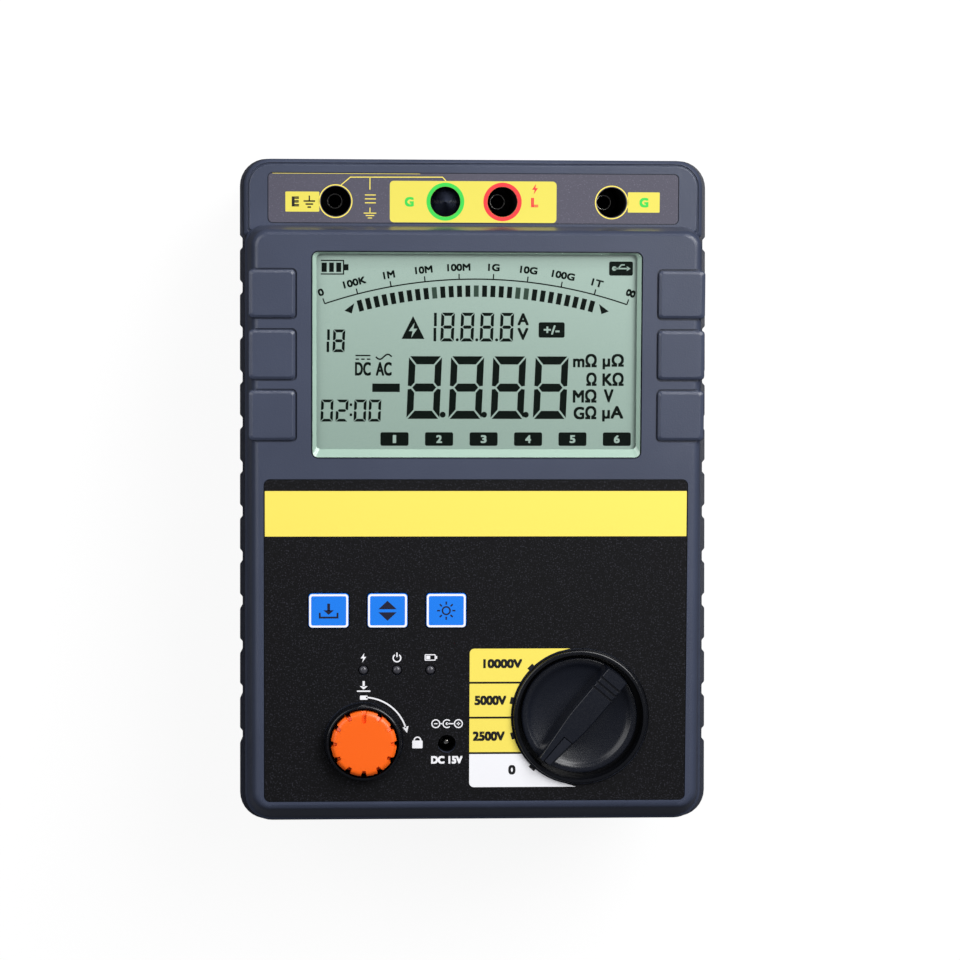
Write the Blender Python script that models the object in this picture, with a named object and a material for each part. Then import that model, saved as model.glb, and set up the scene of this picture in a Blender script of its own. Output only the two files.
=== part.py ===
"""Insulation resistance tester, lying on its back on four rubber feet.

The face looks up (+Z), the terminal deck is at +Y and the range knob is at -Y on the +X side. The origin
is under the middle of the case, on the surface that the feet stand on. Sizes are in millimetres and become
metres where a mesh is made.
"""

import math

import bmesh
import bpy
from mathutils import Matrix, Vector

MM = 0.001
GAP = 0.3  # air left between pieces that touch on the real object

# Case
HALF_WIDTH = 77.6  # over the grip ribs
HALF_LENGTH = 109.4
FACE_Z = 82.0
CEILING_Z = 79.0  # underside of the face
DECK_Z = 57.5
BACK_Z = 2.0
RIM_HALF_WIDTH = 76.6  # front cover, at the parting plane
DECK_HALF_WIDTH = 76.3
DECK_EDGE_Y = 87.5  # foot of the wall between the deck and the raised face
PARTING_Z = 61.5  # at y = 0
PARTING_FALL = 0.0728  # the parting plane drops towards the terminals by this slope
DECK_LIFT = 0.45  # underside of the deck, above the parting plane
GROOVE_PITCH = 14.84
GROOVE_COUNT = 12
GROOVE_DEPTH = 1.3
SHELL_DRAFT = 0.055  # how fast the back shell narrows below the parting plane

# Face: areas are x low, x high, y low, y high
WINDOW = (-54.0, 54.0, 11.9, 79.5)
SCREEN = (-52.6, 52.6, 14.4, 78.9)
OVERLAY = (-69.5, 69.5, -101.4, 5.2)
LABEL = (-68.4, 68.4, 88.2, 105.0)
FILM = 0.6
FILM_RECESS = 0.9
PAD_ROWS = ((57.7, 73.4), (37.7, 53.9), (17.8, 34.2))
PAD_INNER_X = 59.1
PAD_OUTER_X = 74.6
PAD_RISE = 0.9

# Terminals, keys, lamps and the charging jack
SOCKET_X = {"earth": -45.9, "guard_left": -9.5, "line": 9.5, "guard_right": 45.9}
SOCKET_Y = 95.5
SOCKET_R = 5.0
SOCKET_STEPS = 24
SHROUD_R = 6.8
SHROUD_BASE_Z = 14.0
CONTACT_TIP_Z = 28.1
CONTACT_R = 2.6
CONTACT_BORE_R = 2.0
KEY_X = {"left": -48.3, "middle": -29.05, "right": -9.8}
KEY_Y = -38.0
KEY_SIZE = (13.2, 11.4)
KEY_BOARD_Z = 71.0
LED_X = {"left": -36.9, "middle": -25.9, "right": -14.9}
LED_Y = -57.7
LED_R = 1.45
LED_STEPS = 12
JACK = (-9.4, -82.3)
JACK_BORE_R = 3.0

# Test button
BUTTON = (-36.8, -81.2)
BUTTON_STEPS = 32
BUTTON_FLOOR_Z = 74.0
COLLAR_R = 12.4
COLLAR_BORE_R = 11.5
COLLAR_Z = 87.0
CAP_R = 10.7
CAP_TOP_Z = 88.5
CAP_BASE_Z = 78.5
CAP_ROOM_R = 7.6
CAP_ROOM_Z = 86.0
PLUNGER_R = 3.6
PLUNGER_HEAD_Z = 83.0
FLUTES = 12
FLUTE_HALF_WIDTH = 0.75

# Range switch
KNOB = (34.5, -73.3)
KNOB_STEPS = 44
KNOB_FLOOR_Z = 76.0
RING_R = 22.1
RING_BORE_R = 20.8
RING_Z = 84.0
KNOB_R = 19.4
KNOB_BASE_Z = 76.4
KNOB_RIM_Z = 79.9
BAR_TOP_Z = 87.4
BAR_HALF_WIDTH = 4.2
BAR_TIP_HALF_WIDTH = 2.4
BAR_TAIL = -18.2
BAR_TIP = 18.9
BAR_TAPER = 1.0  # where the bar starts to narrow, from the axis
POINTER_ANGLE = math.radians(230.0)  # the off position, from +X
SHAFT_R = 3.0
SHAFT_TOP_Z = 82.0

# Inside
BOARD_Z = 60.0
BOARD_TOP_Z = 61.6
PART_Z = BOARD_TOP_Z + GAP  # foot of what stands on the main board
SCREW_X = 66.0
SCREW_Y = 97.0
BAY = (-52.0, 52.0, -84.0, -22.0)
BAY_TOP_Z = 30.0
DOOR = (-56.0, 56.0, -89.7, -18.0)
DOOR_SCREW_X = 30.0
DOOR_SCREW_Y = -86.2
FOOT_X = 43.0
FOOT_Y = 96.5
FOOT_R = 5.5


def parting(y, lift=0.0):
    """Height of the parting plane at y."""
    return PARTING_Z - PARTING_FALL * y + lift


def lifted(lift):
    """The parting plane moved up or down, as a height for a ring."""
    return lambda y: parting(y, lift)


def clear_scene():
    for old in list(bpy.data.objects):
        bpy.data.objects.remove(old, do_unlink=True)


def finish(name, colour, roughness=0.5, metallic=0.0, alpha=1.0):
    material = bpy.data.materials.new(name)
    material.use_nodes = True
    shader = material.node_tree.nodes["Principled BSDF"]
    shader.inputs["Base Color"].default_value = (*colour, 1.0)
    shader.inputs["Roughness"].default_value = roughness
    shader.inputs["Metallic"].default_value = metallic
    shader.inputs["Alpha"].default_value = alpha
    return material


# Outlines: lists of (x, y), anticlockwise seen from above


def box_outline(x_low, x_high, y_low, y_high, radius=1.0, upper_radius=None, steps=4):
    """Rectangle with rounded corners; the two corners at y_high may have their own radius."""
    upper = radius if upper_radius is None else upper_radius
    corners = (
        (x_high - upper, y_high - upper, upper, 0.0),
        (x_low + upper, y_high - upper, upper, 90.0),
        (x_low + radius, y_low + radius, radius, 180.0),
        (x_high - radius, y_low + radius, radius, 270.0),
    )
    points = []
    for centre_x, centre_y, r, start in corners:
        for step in range(steps + 1):
            angle = math.radians(start + 90.0 * step / steps)
            points.append((centre_x + r * math.cos(angle), centre_y + r * math.sin(angle)))
    return points


def grown_box(area, growth, radius, steps=4):
    """Outline of an area, grown on every side, or shrunk where growth is negative."""
    x_low, x_high, y_low, y_high = area
    return box_outline(
        x_low - growth, x_high + growth, y_low - growth, y_high + growth, radius, steps=steps
    )


def box_about(centre, half_x, half_y, radius, steps=3):
    x, y = centre
    return box_outline(x - half_x, x + half_x, y - half_y, y + half_y, radius, steps=steps)


def circle(centre, radius, steps):
    turn = 2.0 * math.pi / steps
    return [
        (centre[0] + radius * math.cos(turn * i), centre[1] + radius * math.sin(turn * i))
        for i in range(steps)
    ]


def turned_outline(points, centre, angle):
    """Outline turned about the origin, then moved to a centre."""
    cos, sin = math.cos(angle), math.sin(angle)
    return [(centre[0] + x * cos - y * sin, centre[1] + x * sin + y * cos) for x, y in points]


def at_height(outline, height):
    """Outline as a ring in space; height is a number or a function of y."""
    level = height if callable(height) else lambda y: height
    return [(x, y, level(y)) for x, y in outline]


# Shapes added to a bmesh


def add_rows(bm, rings, closed):
    """Skin over rings of equal point count; a closed skin also runs from the last ring to the first."""
    rows = [[bm.verts.new(Vector(point) * MM) for point in ring] for ring in rings]
    count = len(rows[0])
    following = rows[1:] + rows[:1] if closed else rows[1:]
    for low, high in zip(rows, following):
        for i in range(count):
            j = (i + 1) % count
            bm.faces.new((low[i], low[j], high[j], high[i]))
    return rows


def add_loft(bm, rings):
    """Solid skinned over rings, closed by a flat face at each end."""
    rows = add_rows(bm, rings, closed=False)
    bm.faces.new(reversed(rows[0]))
    bm.faces.new(rows[-1])


def add_prism(bm, outline, low, high):
    add_loft(bm, [at_height(outline, low), at_height(outline, high)])


def add_turned(bm, centre, profile, steps):
    """Solid of revolution. The profile runs (radius, z) from the foot of the axis, outside, to its top."""
    add_loft(bm, [at_height(circle(centre, radius, steps), z) for radius, z in profile])


def add_tube(bm, centre, profile, steps):
    """Ring-shaped solid of revolution: the profile is a closed loop of (radius, z)."""
    add_rows(bm, [at_height(circle(centre, radius, steps), z) for radius, z in profile], closed=True)


# Objects


def as_object(name, bm):
    bmesh.ops.recalc_face_normals(bm, faces=bm.faces)
    mesh = bpy.data.meshes.new(name)
    bm.to_mesh(mesh)
    bm.free()
    obj = bpy.data.objects.new(name, mesh)
    bpy.context.scene.collection.objects.link(obj)
    return obj


def hang(obj, parent):
    """Parents an object and leaves it where it is."""
    if parent is not None:
        obj.parent = parent
        obj.matrix_parent_inverse = parent.matrix_world.inverted()


def piece(name, bm, material, parent=None):
    """A part of the tester, with its material and smooth round faces."""
    obj = as_object(name, bm)
    obj.data.materials.append(material)
    obj.data.shade_smooth()
    obj.data.set_sharp_from_angle(angle=math.radians(30.0))
    hang(obj, parent)
    return obj


def pivot(name, centre, z, parent=None):
    """Empty on a joint's axis, which the moving pieces hang from."""
    empty = bpy.data.objects.new(name, None)
    empty.matrix_world = Matrix.Translation(Vector((*centre, z)) * MM)
    bpy.context.scene.collection.objects.link(empty)
    hang(empty, parent)
    bpy.context.view_layer.update()
    return empty


def hidden_tool(name, *fillers):
    """Helper object for a Boolean, made of the shapes that the fillers add."""
    bm = bmesh.new()
    for filler in fillers:
        filler(bm)
    tool = as_object(name, bm)
    tool.hide_render = True
    tool.display_type = "WIRE"
    tool.hide_set(True)
    return tool


def use_tool(obj, operation, tool):
    modifier = obj.modifiers.new(tool.name, "BOOLEAN")
    modifier.operation = operation
    modifier.object = tool
    modifier.solver = "EXACT"


def shape(obj, operation, *fillers):
    """Cuts the fillers' shapes out of the object, or joins them to it."""
    name = f"{obj.name}_{operation.lower()}_{len(obj.modifiers)}"
    use_tool(obj, operation, hidden_tool(name, *fillers))


def prism_piece(name, outline, low, high, material, parent=None):
    bm = bmesh.new()
    add_prism(bm, outline, low, high)
    return piece(name, bm, material, parent)


def turned_piece(name, centre, profile, steps, material, parent=None):
    bm = bmesh.new()
    add_turned(bm, centre, profile, steps)
    return piece(name, bm, material, parent)


def tube_piece(name, centre, profile, steps, material, parent=None):
    bm = bmesh.new()
    add_tube(bm, centre, profile, steps)
    return piece(name, bm, material, parent)


# Case screws: columns of the rear case end under the front cover's own columns


def screw_points():
    return [(sx * SCREW_X, sy * SCREW_Y) for sy in (-1.0, 1.0) for sx in (-1.0, 1.0)]


def column_joint(y):
    """Height at which the rear case's screw column ends."""
    return parting(y, -5.0 if y > 0.0 else -2.0)


def roof(y):
    """Underside of the face, or of the deck, over a case screw."""
    return CEILING_Z if y < DECK_EDGE_Y else parting(y, DECK_LIFT)


def add_screw_columns(bm, radius, foot_lift, top_lift, steps):
    """Columns of the front cover, from the rear case's columns up to its own underside."""
    for x, y in screw_points():
        profile = [(radius, column_joint(y) + foot_lift), (radius, roof(y) + top_lift)]
        add_turned(bm, (x, y), profile, steps)


# Front cover


def bezel_ring(half_width, y_low, y_high, low_radius, high_radius, height):
    outline = box_outline(-half_width, half_width, y_low, y_high, low_radius, high_radius, steps=5)
    return at_height(outline, height)


def add_bezel(bm):
    """Raised face block: narrow at the face, spreading to a plain rim at the parting plane."""
    add_loft(
        bm,
        [
            bezel_ring(RIM_HALF_WIDTH, -HALF_LENGTH, DECK_EDGE_Y, 9.0, 6.0, lifted(0.15)),
            bezel_ring(RIM_HALF_WIDTH, -HALF_LENGTH, DECK_EDGE_Y, 9.0, 6.0, lifted(2.4)),
            bezel_ring(75.9, -108.4, 87.4, 8.6, 6.0, lifted(3.0)),
            bezel_ring(73.5, -104.6, 86.4, 6.0, 5.4, FACE_Z - 1.8),
            bezel_ring(73.0, -104.0, 85.9, 5.4, 5.0, FACE_Z - 0.6),
            bezel_ring(71.7, -102.9, 85.0, 4.4, 4.2, FACE_Z),
        ],
    )


def add_bezel_room(bm):
    """Hollow under the raised face."""
    add_loft(
        bm,
        [
            bezel_ring(73.9, -106.8, 85.0, 6.8, 3.5, lifted(-4.0)),
            bezel_ring(70.2, -100.6, 83.4, 3.5, 3.0, CEILING_Z),
        ],
    )


def add_deck(bm):
    """Terminal deck: a plate from inside the raised block to the end of the case."""
    edge = box_outline(-DECK_HALF_WIDTH, DECK_HALF_WIDTH, 84.0, HALF_LENGTH, 1.0, 8.9, steps=5)
    top = box_outline(0.8 - DECK_HALF_WIDTH, DECK_HALF_WIDTH - 0.8, 84.8, 108.6, 1.0, 8.1, steps=5)
    add_loft(
        bm,
        [at_height(edge, lifted(DECK_LIFT)), at_height(edge, DECK_Z - 0.8), at_height(top, DECK_Z)],
    )


def add_pads(bm):
    """Three raised pads on each side of the window, standing proud of the face and of its edge."""
    for y_low, y_high in PAD_ROWS:
        for side in (-1.0, 1.0):
            foot = sorted((side * PAD_INNER_X, side * PAD_OUTER_X))
            shoulder = sorted((side * PAD_INNER_X, side * (PAD_OUTER_X - 0.3)))
            crown = sorted((side * (PAD_INNER_X + 1.3), side * (PAD_OUTER_X - 1.9)))
            foot_outline = box_outline(*foot, y_low, y_high, 1.3, steps=2)
            crown_outline = box_outline(*crown, y_low + 1.3, y_high - 1.3, 0.7, steps=2)
            add_loft(
                bm,
                [
                    at_height(foot_outline, FACE_Z - 10.0),
                    at_height(foot_outline, FACE_Z - 1.4),
                    at_height(box_outline(*shoulder, y_low, y_high, 1.3, steps=2), FACE_Z - 0.2),
                    at_height(crown_outline, FACE_Z + PAD_RISE),
                ],
            )


def add_wells(bm):
    """Sunk cups with raised lips that the knob and the test button sit in, still without their bores."""
    for centre, radius, lip_z, floor_z, steps in (
        (KNOB, RING_R, RING_Z, KNOB_FLOOR_Z, KNOB_STEPS),
        (BUTTON, COLLAR_R, COLLAR_Z, BUTTON_FLOOR_Z, BUTTON_STEPS),
    ):
        profile = [
            (radius + 0.9, floor_z - 2.0),
            (radius + 0.9, FACE_Z - 1.5),
            (radius + 0.15, FACE_Z - 0.6),
            (radius, lip_z - 0.4),
            (radius - 0.3, lip_z),
        ]
        add_turned(bm, centre, profile, steps)


def add_well_bores(bm):
    for centre, radius, lip_z, floor_z, steps in (
        (KNOB, RING_BORE_R, RING_Z, KNOB_FLOOR_Z, KNOB_STEPS),
        (BUTTON, COLLAR_BORE_R, COLLAR_Z, BUTTON_FLOOR_Z, BUTTON_STEPS),
    ):
        add_turned(bm, centre, [(radius, floor_z), (radius, lip_z + 1.0)], steps)


def add_floor_bores(bm):
    """Holes in the floors of the two wells for the shaft and the plunger."""
    for centre, radius, floor_z in (
        (KNOB, SHAFT_R + GAP, KNOB_FLOOR_Z),
        (BUTTON, PLUNGER_R + 0.6, BUTTON_FLOOR_Z),
    ):
        add_turned(bm, centre, [(radius, floor_z - 4.0), (radius, floor_z + 0.5)], 20)


def key_outline(x, margin=0.0):
    half_x, half_y = KEY_SIZE[0] / 2.0 + margin, KEY_SIZE[1] / 2.0 + margin
    return box_about((x, KEY_Y), half_x, half_y, 1.2 + margin)


def add_control_holes(bm, low):
    """Holes for the keys, the lamps and the charging plug, from a height up past the face."""
    high = FACE_Z + 1.0
    for x in KEY_X.values():
        add_prism(bm, key_outline(x, GAP), low, high)
    for x in LED_X.values():
        add_turned(bm, (x, LED_Y), [(LED_R + GAP, low), (LED_R + GAP, high)], LED_STEPS)
    add_turned(bm, JACK, [(JACK_BORE_R, low), (JACK_BORE_R, high)], SOCKET_STEPS)


def add_face_openings(bm):
    low = CEILING_Z - 1.5
    add_prism(bm, grown_box(SCREEN, 0.0, 2.0), low, FACE_Z - 1.0)
    add_control_holes(bm, low)


def add_socket_bores(bm):
    for x in SOCKET_X.values():
        add_turned(bm, (x, SOCKET_Y), [(SOCKET_R, 50.0), (SOCKET_R, DECK_Z + 1.0)], SOCKET_STEPS)


def add_recesses(bm):
    """Seats of the window and of the terminal label."""
    add_prism(bm, grown_box(WINDOW, 0.0, 2.3), FACE_Z - 2.1, FACE_Z + 1.0)
    add_prism(bm, grown_box(LABEL, 0.0, 1.7), DECK_Z - FILM_RECESS, DECK_Z + 1.0)


def add_grooves(bm):
    """Tapered slots between the grip ribs on both sides, running out at both ends."""
    run_out = -0.6
    for index in range(GROOVE_COUNT):
        y = (index - (GROOVE_COUNT - 1) / 2.0) * GROOVE_PITCH
        stations = (
            (parting(y, 4.2), run_out),
            (parting(y, 3.0), GROOVE_DEPTH),
            (24.0, GROOVE_DEPTH),
            (20.0, run_out),
        )
        for side in (-1.0, 1.0):
            rings = []
            for z, depth in stations:
                skin = HALF_WIDTH - SHELL_DRAFT * max(0.0, parting(y) - z)
                inner, outer = side * (skin - depth), side * (HALF_WIDTH + 1.0)
                rings.append(
                    [(inner, y - 1.35, z), (inner, y + 1.35, z), (outer, y + 2.7, z), (outer, y - 2.7, z)]
                )
            add_loft(bm, rings)


def make_tray_tool():
    """Shallow recess for the overlay, which stops short of the two raised rings."""
    tool = hidden_tool(
        "overlay_tray",
        lambda bm: add_prism(bm, grown_box(OVERLAY, 0.0, 2.0), FACE_Z - FILM_RECESS, FACE_Z + 0.5),
    )
    for centre, radius, steps in (
        (KNOB, RING_R + 0.35, KNOB_STEPS),
        (BUTTON, COLLAR_R + 0.35, BUTTON_STEPS),
    ):
        profile = [(radius, FACE_Z - 3.0), (radius, FACE_Z + 2.0)]
        shape(tool, "DIFFERENCE", lambda bm: add_turned(bm, centre, profile, steps))
    return tool


def make_front_cover(material):
    bm = bmesh.new()
    add_bezel(bm)
    cover = piece("front_cover", bm, material)
    shape(cover, "UNION", add_pads)
    shape(cover, "DIFFERENCE", add_bezel_room)
    shape(cover, "UNION", add_deck)
    shape(cover, "UNION", add_wells, lambda bm: add_screw_columns(bm, 4.2, GAP, 1.0, 16))
    shape(cover, "DIFFERENCE", add_well_bores)
    shape(
        cover,
        "DIFFERENCE",
        add_floor_bores,
        add_face_openings,
        add_socket_bores,
        lambda bm: add_screw_columns(bm, 1.8, -1.0, -1.0, 10),
    )
    shape(cover, "DIFFERENCE", add_recesses)
    use_tool(cover, "DIFFERENCE", make_tray_tool())
    shape(cover, "DIFFERENCE", add_grooves)


# Rear case


def shell_ring(inset, height):
    """Ring round the case, inset from its widest outline."""
    x, y = HALF_WIDTH - inset, HALF_LENGTH - inset
    return at_height(box_about((0.0, 0.0), x, y, max(1.5, 9.0 - inset), steps=5), height)


def foot_points():
    return [(sx * FOOT_X, sy * FOOT_Y) for sy in (-1.0, 1.0) for sx in (-1.0, 1.0)]


def add_bay_box(bm):
    """Box over the battery, and the screw columns."""
    add_prism(bm, grown_box(BAY, 2.0, 3.0), 6.0, BAY_TOP_Z + 2.0)
    for x, y in screw_points():
        add_turned(bm, (x, y), [(5.4, BACK_Z + 1.6), (5.4, column_joint(y))], 16)


def add_rear_cuts(bm):
    """Battery bay, screw holes and the seats of the feet."""
    add_prism(bm, grown_box(BAY, 0.0, 2.0), BACK_Z + 1.0, BAY_TOP_Z)
    for x, y in screw_points():
        profile = [(3.9, -1.0), (3.9, 20.0), (1.9, 20.0), (1.9, parting(y, 3.0))]
        add_turned(bm, (x, y), profile, 16)
    for x in (-DOOR_SCREW_X, DOOR_SCREW_X):
        add_turned(bm, (x, DOOR_SCREW_Y), [(1.6, BACK_Z + 1.0), (1.6, 12.0)], 12)
    for centre in foot_points():
        add_turned(bm, centre, [(FOOT_R + GAP, -1.0), (FOOT_R + GAP, 3.3)], 20)


def make_rear_case(material):
    """Deep back shell with a stepped rim, a battery bay in its floor and four screw columns."""
    bm = bmesh.new()
    add_loft(
        bm,
        [
            shell_ring(6.6, BACK_Z),
            shell_ring(4.4, BACK_Z + 1.2),
            shell_ring(3.1, BACK_Z + 4.0),
            shell_ring(0.0, lifted(-2.0)),
            shell_ring(0.25, lifted(-0.15)),
            shell_ring(2.1, lifted(-0.15)),
            shell_ring(2.1, lifted(-2.2)),
            shell_ring(3.3, lifted(-2.2)),
            shell_ring(6.0, BACK_Z + 3.0),
        ],
    )
    case = piece("rear_case", bm, material)
    shape(case, "UNION", lambda bm: add_prism(bm, grown_box(DOOR, 4.0, 3.0), BACK_Z + 1.5, 8.5))
    shape(case, "UNION", add_bay_box)
    shape(case, "DIFFERENCE", add_rear_cuts)
    shape(case, "DIFFERENCE", lambda bm: add_prism(bm, grown_box(DOOR, 0.0, 3.0), -1.0, 4.6))
    shape(case, "DIFFERENCE", add_grooves)


def make_seal(material):
    """Closed gasket lying in the step of the rear case's rim."""
    bm = bmesh.new()
    sections = ((2.4, -1.9), (2.4, -0.2), (3.4, -0.2), (3.4, -1.9))
    add_rows(bm, [shell_ring(inset, lifted(lift)) for inset, lift in sections], closed=True)
    piece("case_seal", bm, material)


# Films and the display


def make_films(film, label):
    overlay = prism_piece("control_overlay", grown_box(OVERLAY, -0.25, 1.8), FACE_Z - FILM, FACE_Z, film)
    low, high = FACE_Z - 2.0, FACE_Z + 1.0
    shape(
        overlay,
        "DIFFERENCE",
        lambda bm: add_control_holes(bm, low),
        lambda bm: add_turned(bm, KNOB, [(RING_R + 0.65, low), (RING_R + 0.65, high)], KNOB_STEPS),
        lambda bm: add_turned(bm, BUTTON, [(COLLAR_R + 0.65, low), (COLLAR_R + 0.65, high)], BUTTON_STEPS),
    )
    strip = prism_piece("terminal_label", grown_box(LABEL, -0.25, 1.5), DECK_Z - FILM, DECK_Z, label)
    shape(strip, "DIFFERENCE", add_socket_bores)


def make_window(material):
    """Clear pane with a bevelled edge."""
    pane, face = grown_box(WINDOW, -0.3, 2.0), grown_box(WINDOW, -1.3, 1.4)
    bm = bmesh.new()
    add_loft(
        bm,
        [at_height(pane, FACE_Z - 1.8), at_height(pane, FACE_Z - 0.5), at_height(face, FACE_Z - 0.1)],
    )
    piece("display_window", bm, material)


def make_display(glass, diffuser, black, flex):
    """Panel and backlight in a black frame, which the flat cable leaves through a slot."""
    prism_piece("lcd_panel", box_outline(-54.4, 54.4, 12.6, 80.4, 0.6), 76.4, 78.7, glass)
    prism_piece("lcd_backlight", box_outline(-54.2, 54.2, 12.8, 80.2, 0.8), 70.2, 76.1, diffuser)
    frame = prism_piece("display_frame", box_outline(-57.0, 57.0, 10.2, 82.6, 1.5), PART_Z, 78.6, black)
    seat = box_outline(-54.8, 54.8, 12.2, 80.8, 0.8)
    middle = box_outline(-51.0, 51.0, 16.0, 77.0, 1.0)
    slot = box_outline(-20.5, 20.5, 9.0, 14.0, 0.4)
    for outline, low, high in ((seat, 69.9, 80.0), (middle, 60.0, 72.0), (slot, 75.7, 77.0)):
        shape(frame, "DIFFERENCE", lambda bm: add_prism(bm, outline, low, high))
    make_ribbon(flex)


def make_ribbon(material):
    """Flat cable from the lower edge of the display, over the frame and down to the main board."""
    top, thick, front, back = 76.35, 0.25, 12.3, 9.7
    profile = [
        (front, top - thick),
        (front, top),
        (back - thick, top),
        (back - thick, PART_Z),
        (back, PART_Z),
        (back, top - thick),
    ]
    bm = bmesh.new()
    add_loft(bm, [[(x, y, z) for y, z in profile] for x in (-20.0, 20.0)])
    piece("display_ribbon", bm, material)


# Keys, lamps, jack and sockets


def make_keys(rubber, board, metal):
    """Three keys in one row, each with a flange behind the face and a snap dome under its stem."""
    outline = box_outline(-58.0, -2.0, -64.0, -30.0, 1.0)
    prism_piece("key_board", outline, KEY_BOARD_Z, KEY_BOARD_Z + 1.6, board)
    dome_z = KEY_BOARD_Z + 1.9
    half_x, half_y = KEY_SIZE[0] / 2.0, KEY_SIZE[1] / 2.0
    for side, x in KEY_X.items():
        centre = (x, KEY_Y)
        stem = box_about(centre, 2.0, 2.0, 0.8)
        flange = box_about(centre, half_x + 1.2, half_y + 1.2, 1.4)
        crown = box_about(centre, half_x - 0.4, half_y - 0.4, 0.8)
        bm = bmesh.new()
        add_loft(
            bm,
            [
                at_height(stem, 75.2),
                at_height(stem, 76.9),
                at_height(flange, 76.9),
                at_height(flange, CEILING_Z - 0.6),
                at_height(key_outline(x), CEILING_Z - 0.6),
                at_height(key_outline(x), FACE_Z + 0.3),
                at_height(crown, FACE_Z + 0.6),
            ],
        )
        piece(f"key_{side}", bm, rubber, pivot(f"key_{side}_axis", centre, FACE_Z))
        profile = [(5.0, dome_z), (4.6, dome_z + 0.6), (2.6, dome_z + 1.3)]
        turned_piece(f"key_dome_{side}", centre, profile, 16, metal)


def make_lamps(lenses):
    low = KEY_BOARD_Z + 1.9
    profile = [
        (1.9, low),
        (1.9, low + 1.0),
        (LED_R, low + 1.0),
        (LED_R, FACE_Z - 0.3),
        (1.1, FACE_Z + 0.3),
        (0.4, FACE_Z + 0.6),
    ]
    for side, x in LED_X.items():
        turned_piece(f"led_{side}", (x, LED_Y), profile, LED_STEPS, lenses[side])


def make_jack(black, metal):
    """Charging inlet: a cup with a pin standing in it."""
    top, bore, floor = CEILING_Z - GAP, JACK_BORE_R + 0.1, PART_Z + 3.0
    profile = [(5.2, PART_Z), (5.2, top), (bore, top), (bore, floor)]
    turned_piece("dc_jack", JACK, profile, SOCKET_STEPS, black)
    turned_piece("dc_jack_pin", JACK, [(1.05, floor + GAP), (1.05, 77.3), (0.6, 77.8)], 12, metal)


def make_sockets(shroud, metal):
    """Four deep insulated wells, each with a metal tube standing up through its floor."""
    top = parting(SOCKET_Y + SHROUD_R) - GAP
    floor = SHROUD_BASE_Z + 4.0
    hole = CONTACT_R + GAP
    well = [
        (hole, SHROUD_BASE_Z),
        (SHROUD_R, SHROUD_BASE_Z),
        (SHROUD_R, top),
        (SOCKET_R, top),
        (SOCKET_R, floor),
        (hole, floor),
    ]
    tube = [
        (CONTACT_R, 9.0),
        (CONTACT_R, CONTACT_TIP_Z - 0.3),
        (CONTACT_R - 0.3, CONTACT_TIP_Z),
        (CONTACT_BORE_R, CONTACT_TIP_Z),
        (CONTACT_BORE_R, 11.5),
    ]
    for name, x in SOCKET_X.items():
        tube_piece(f"socket_{name}", (x, SOCKET_Y), well, SOCKET_STEPS, shroud)
        turned_piece(f"contact_{name}", (x, SOCKET_Y), tube, 16, metal)


# Test button


def add_flutes(bm):
    """Grip notches round the cap; the first is long and shallow and marks which way the cap is turned."""
    for index in range(FLUTES):
        marker = index == 0
        inner, outer = CAP_R - (3.9 if marker else 1.9), CAP_R + 1.0
        low = CAP_TOP_Z - 1.2 if marker else CAP_BASE_Z + 2.0
        half = FLUTE_HALF_WIDTH
        notch = [(inner, -half), (outer, -half), (outer, half), (inner, half)]
        angle = math.radians(90.0 + 360.0 * index / FLUTES)
        add_prism(bm, turned_outline(notch, BUTTON, angle), low, CAP_TOP_Z + 1.0)


def make_button(orange, black, steel):
    """Push button whose fluted cap also turns on the plunger, to lock it down."""
    press = pivot("test_press_axis", BUTTON, BUTTON_FLOOR_Z)
    turn = pivot("test_turn_axis", BUTTON, CAP_BASE_Z, press)
    profile = [
        (CAP_R, CAP_BASE_Z),
        (CAP_R, CAP_TOP_Z - 1.0),
        (CAP_R - 0.35, CAP_TOP_Z - 0.3),
        (CAP_R - 1.0, CAP_TOP_Z),
    ]
    cap = turned_piece("test_cap", BUTTON, profile, 48, orange, turn)
    shape(cap, "DIFFERENCE", add_flutes)
    room = [(CAP_ROOM_R, CAP_BASE_Z - 1.0), (CAP_ROOM_R, CAP_ROOM_Z)]
    shape(cap, "DIFFERENCE", lambda bm: add_turned(bm, BUTTON, room, 24))

    profile = [
        (PLUNGER_R - 0.4, 69.0),
        (PLUNGER_R, 69.6),
        (PLUNGER_R, PLUNGER_HEAD_Z),
        (CAP_ROOM_R - 0.6, PLUNGER_HEAD_Z),
        (CAP_ROOM_R - 0.6, CAP_ROOM_Z - GAP),
    ]
    turned_piece("test_plunger", BUTTON, profile, 20, black, press)
    make_spring(steel)
    prism_piece("test_switch", box_about(BUTTON, 8.0, 6.5, 1.0), PART_Z, 65.6, black)


def make_spring(steel):
    """Compression spring round the plunger, from the well's floor to the plunger's head."""
    wire, radius, turns, sides, steps = 0.4, 5.4, 4, 5, 10
    low = BUTTON_FLOOR_Z + GAP + wire
    rise = PLUNGER_HEAD_Z - GAP - wire - low
    section = [2.0 * math.pi * k / sides for k in range(sides)]
    rings = []
    for i in range(turns * steps + 1):
        share = i / (turns * steps)
        angle = 2.0 * math.pi * turns * share
        radial = Vector((math.cos(angle), math.sin(angle), 0.0))
        middle = Vector((*BUTTON, low + rise * share)) + radial * radius
        rings.append(
            [middle + (radial * math.cos(a) + Vector((0.0, 0.0, math.sin(a)))) * wire for a in section]
        )
    bm = bmesh.new()
    add_loft(bm, rings)
    piece("test_spring", bm, steel)


# Range switch


def bar_outline(growth=0.0):
    """Plan of the knob's grip bar along its own X axis: parallel, then narrowing to the tip."""
    half, tip = BAR_HALF_WIDTH + growth, BAR_TIP_HALF_WIDTH + growth
    points = [(BAR_TAIL, -half), (BAR_TAPER, -half), (BAR_TIP, -tip)]
    points += [(x, -y) for x, y in reversed(points)]
    return turned_outline(points, KNOB, POINTER_ANGLE)


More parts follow.
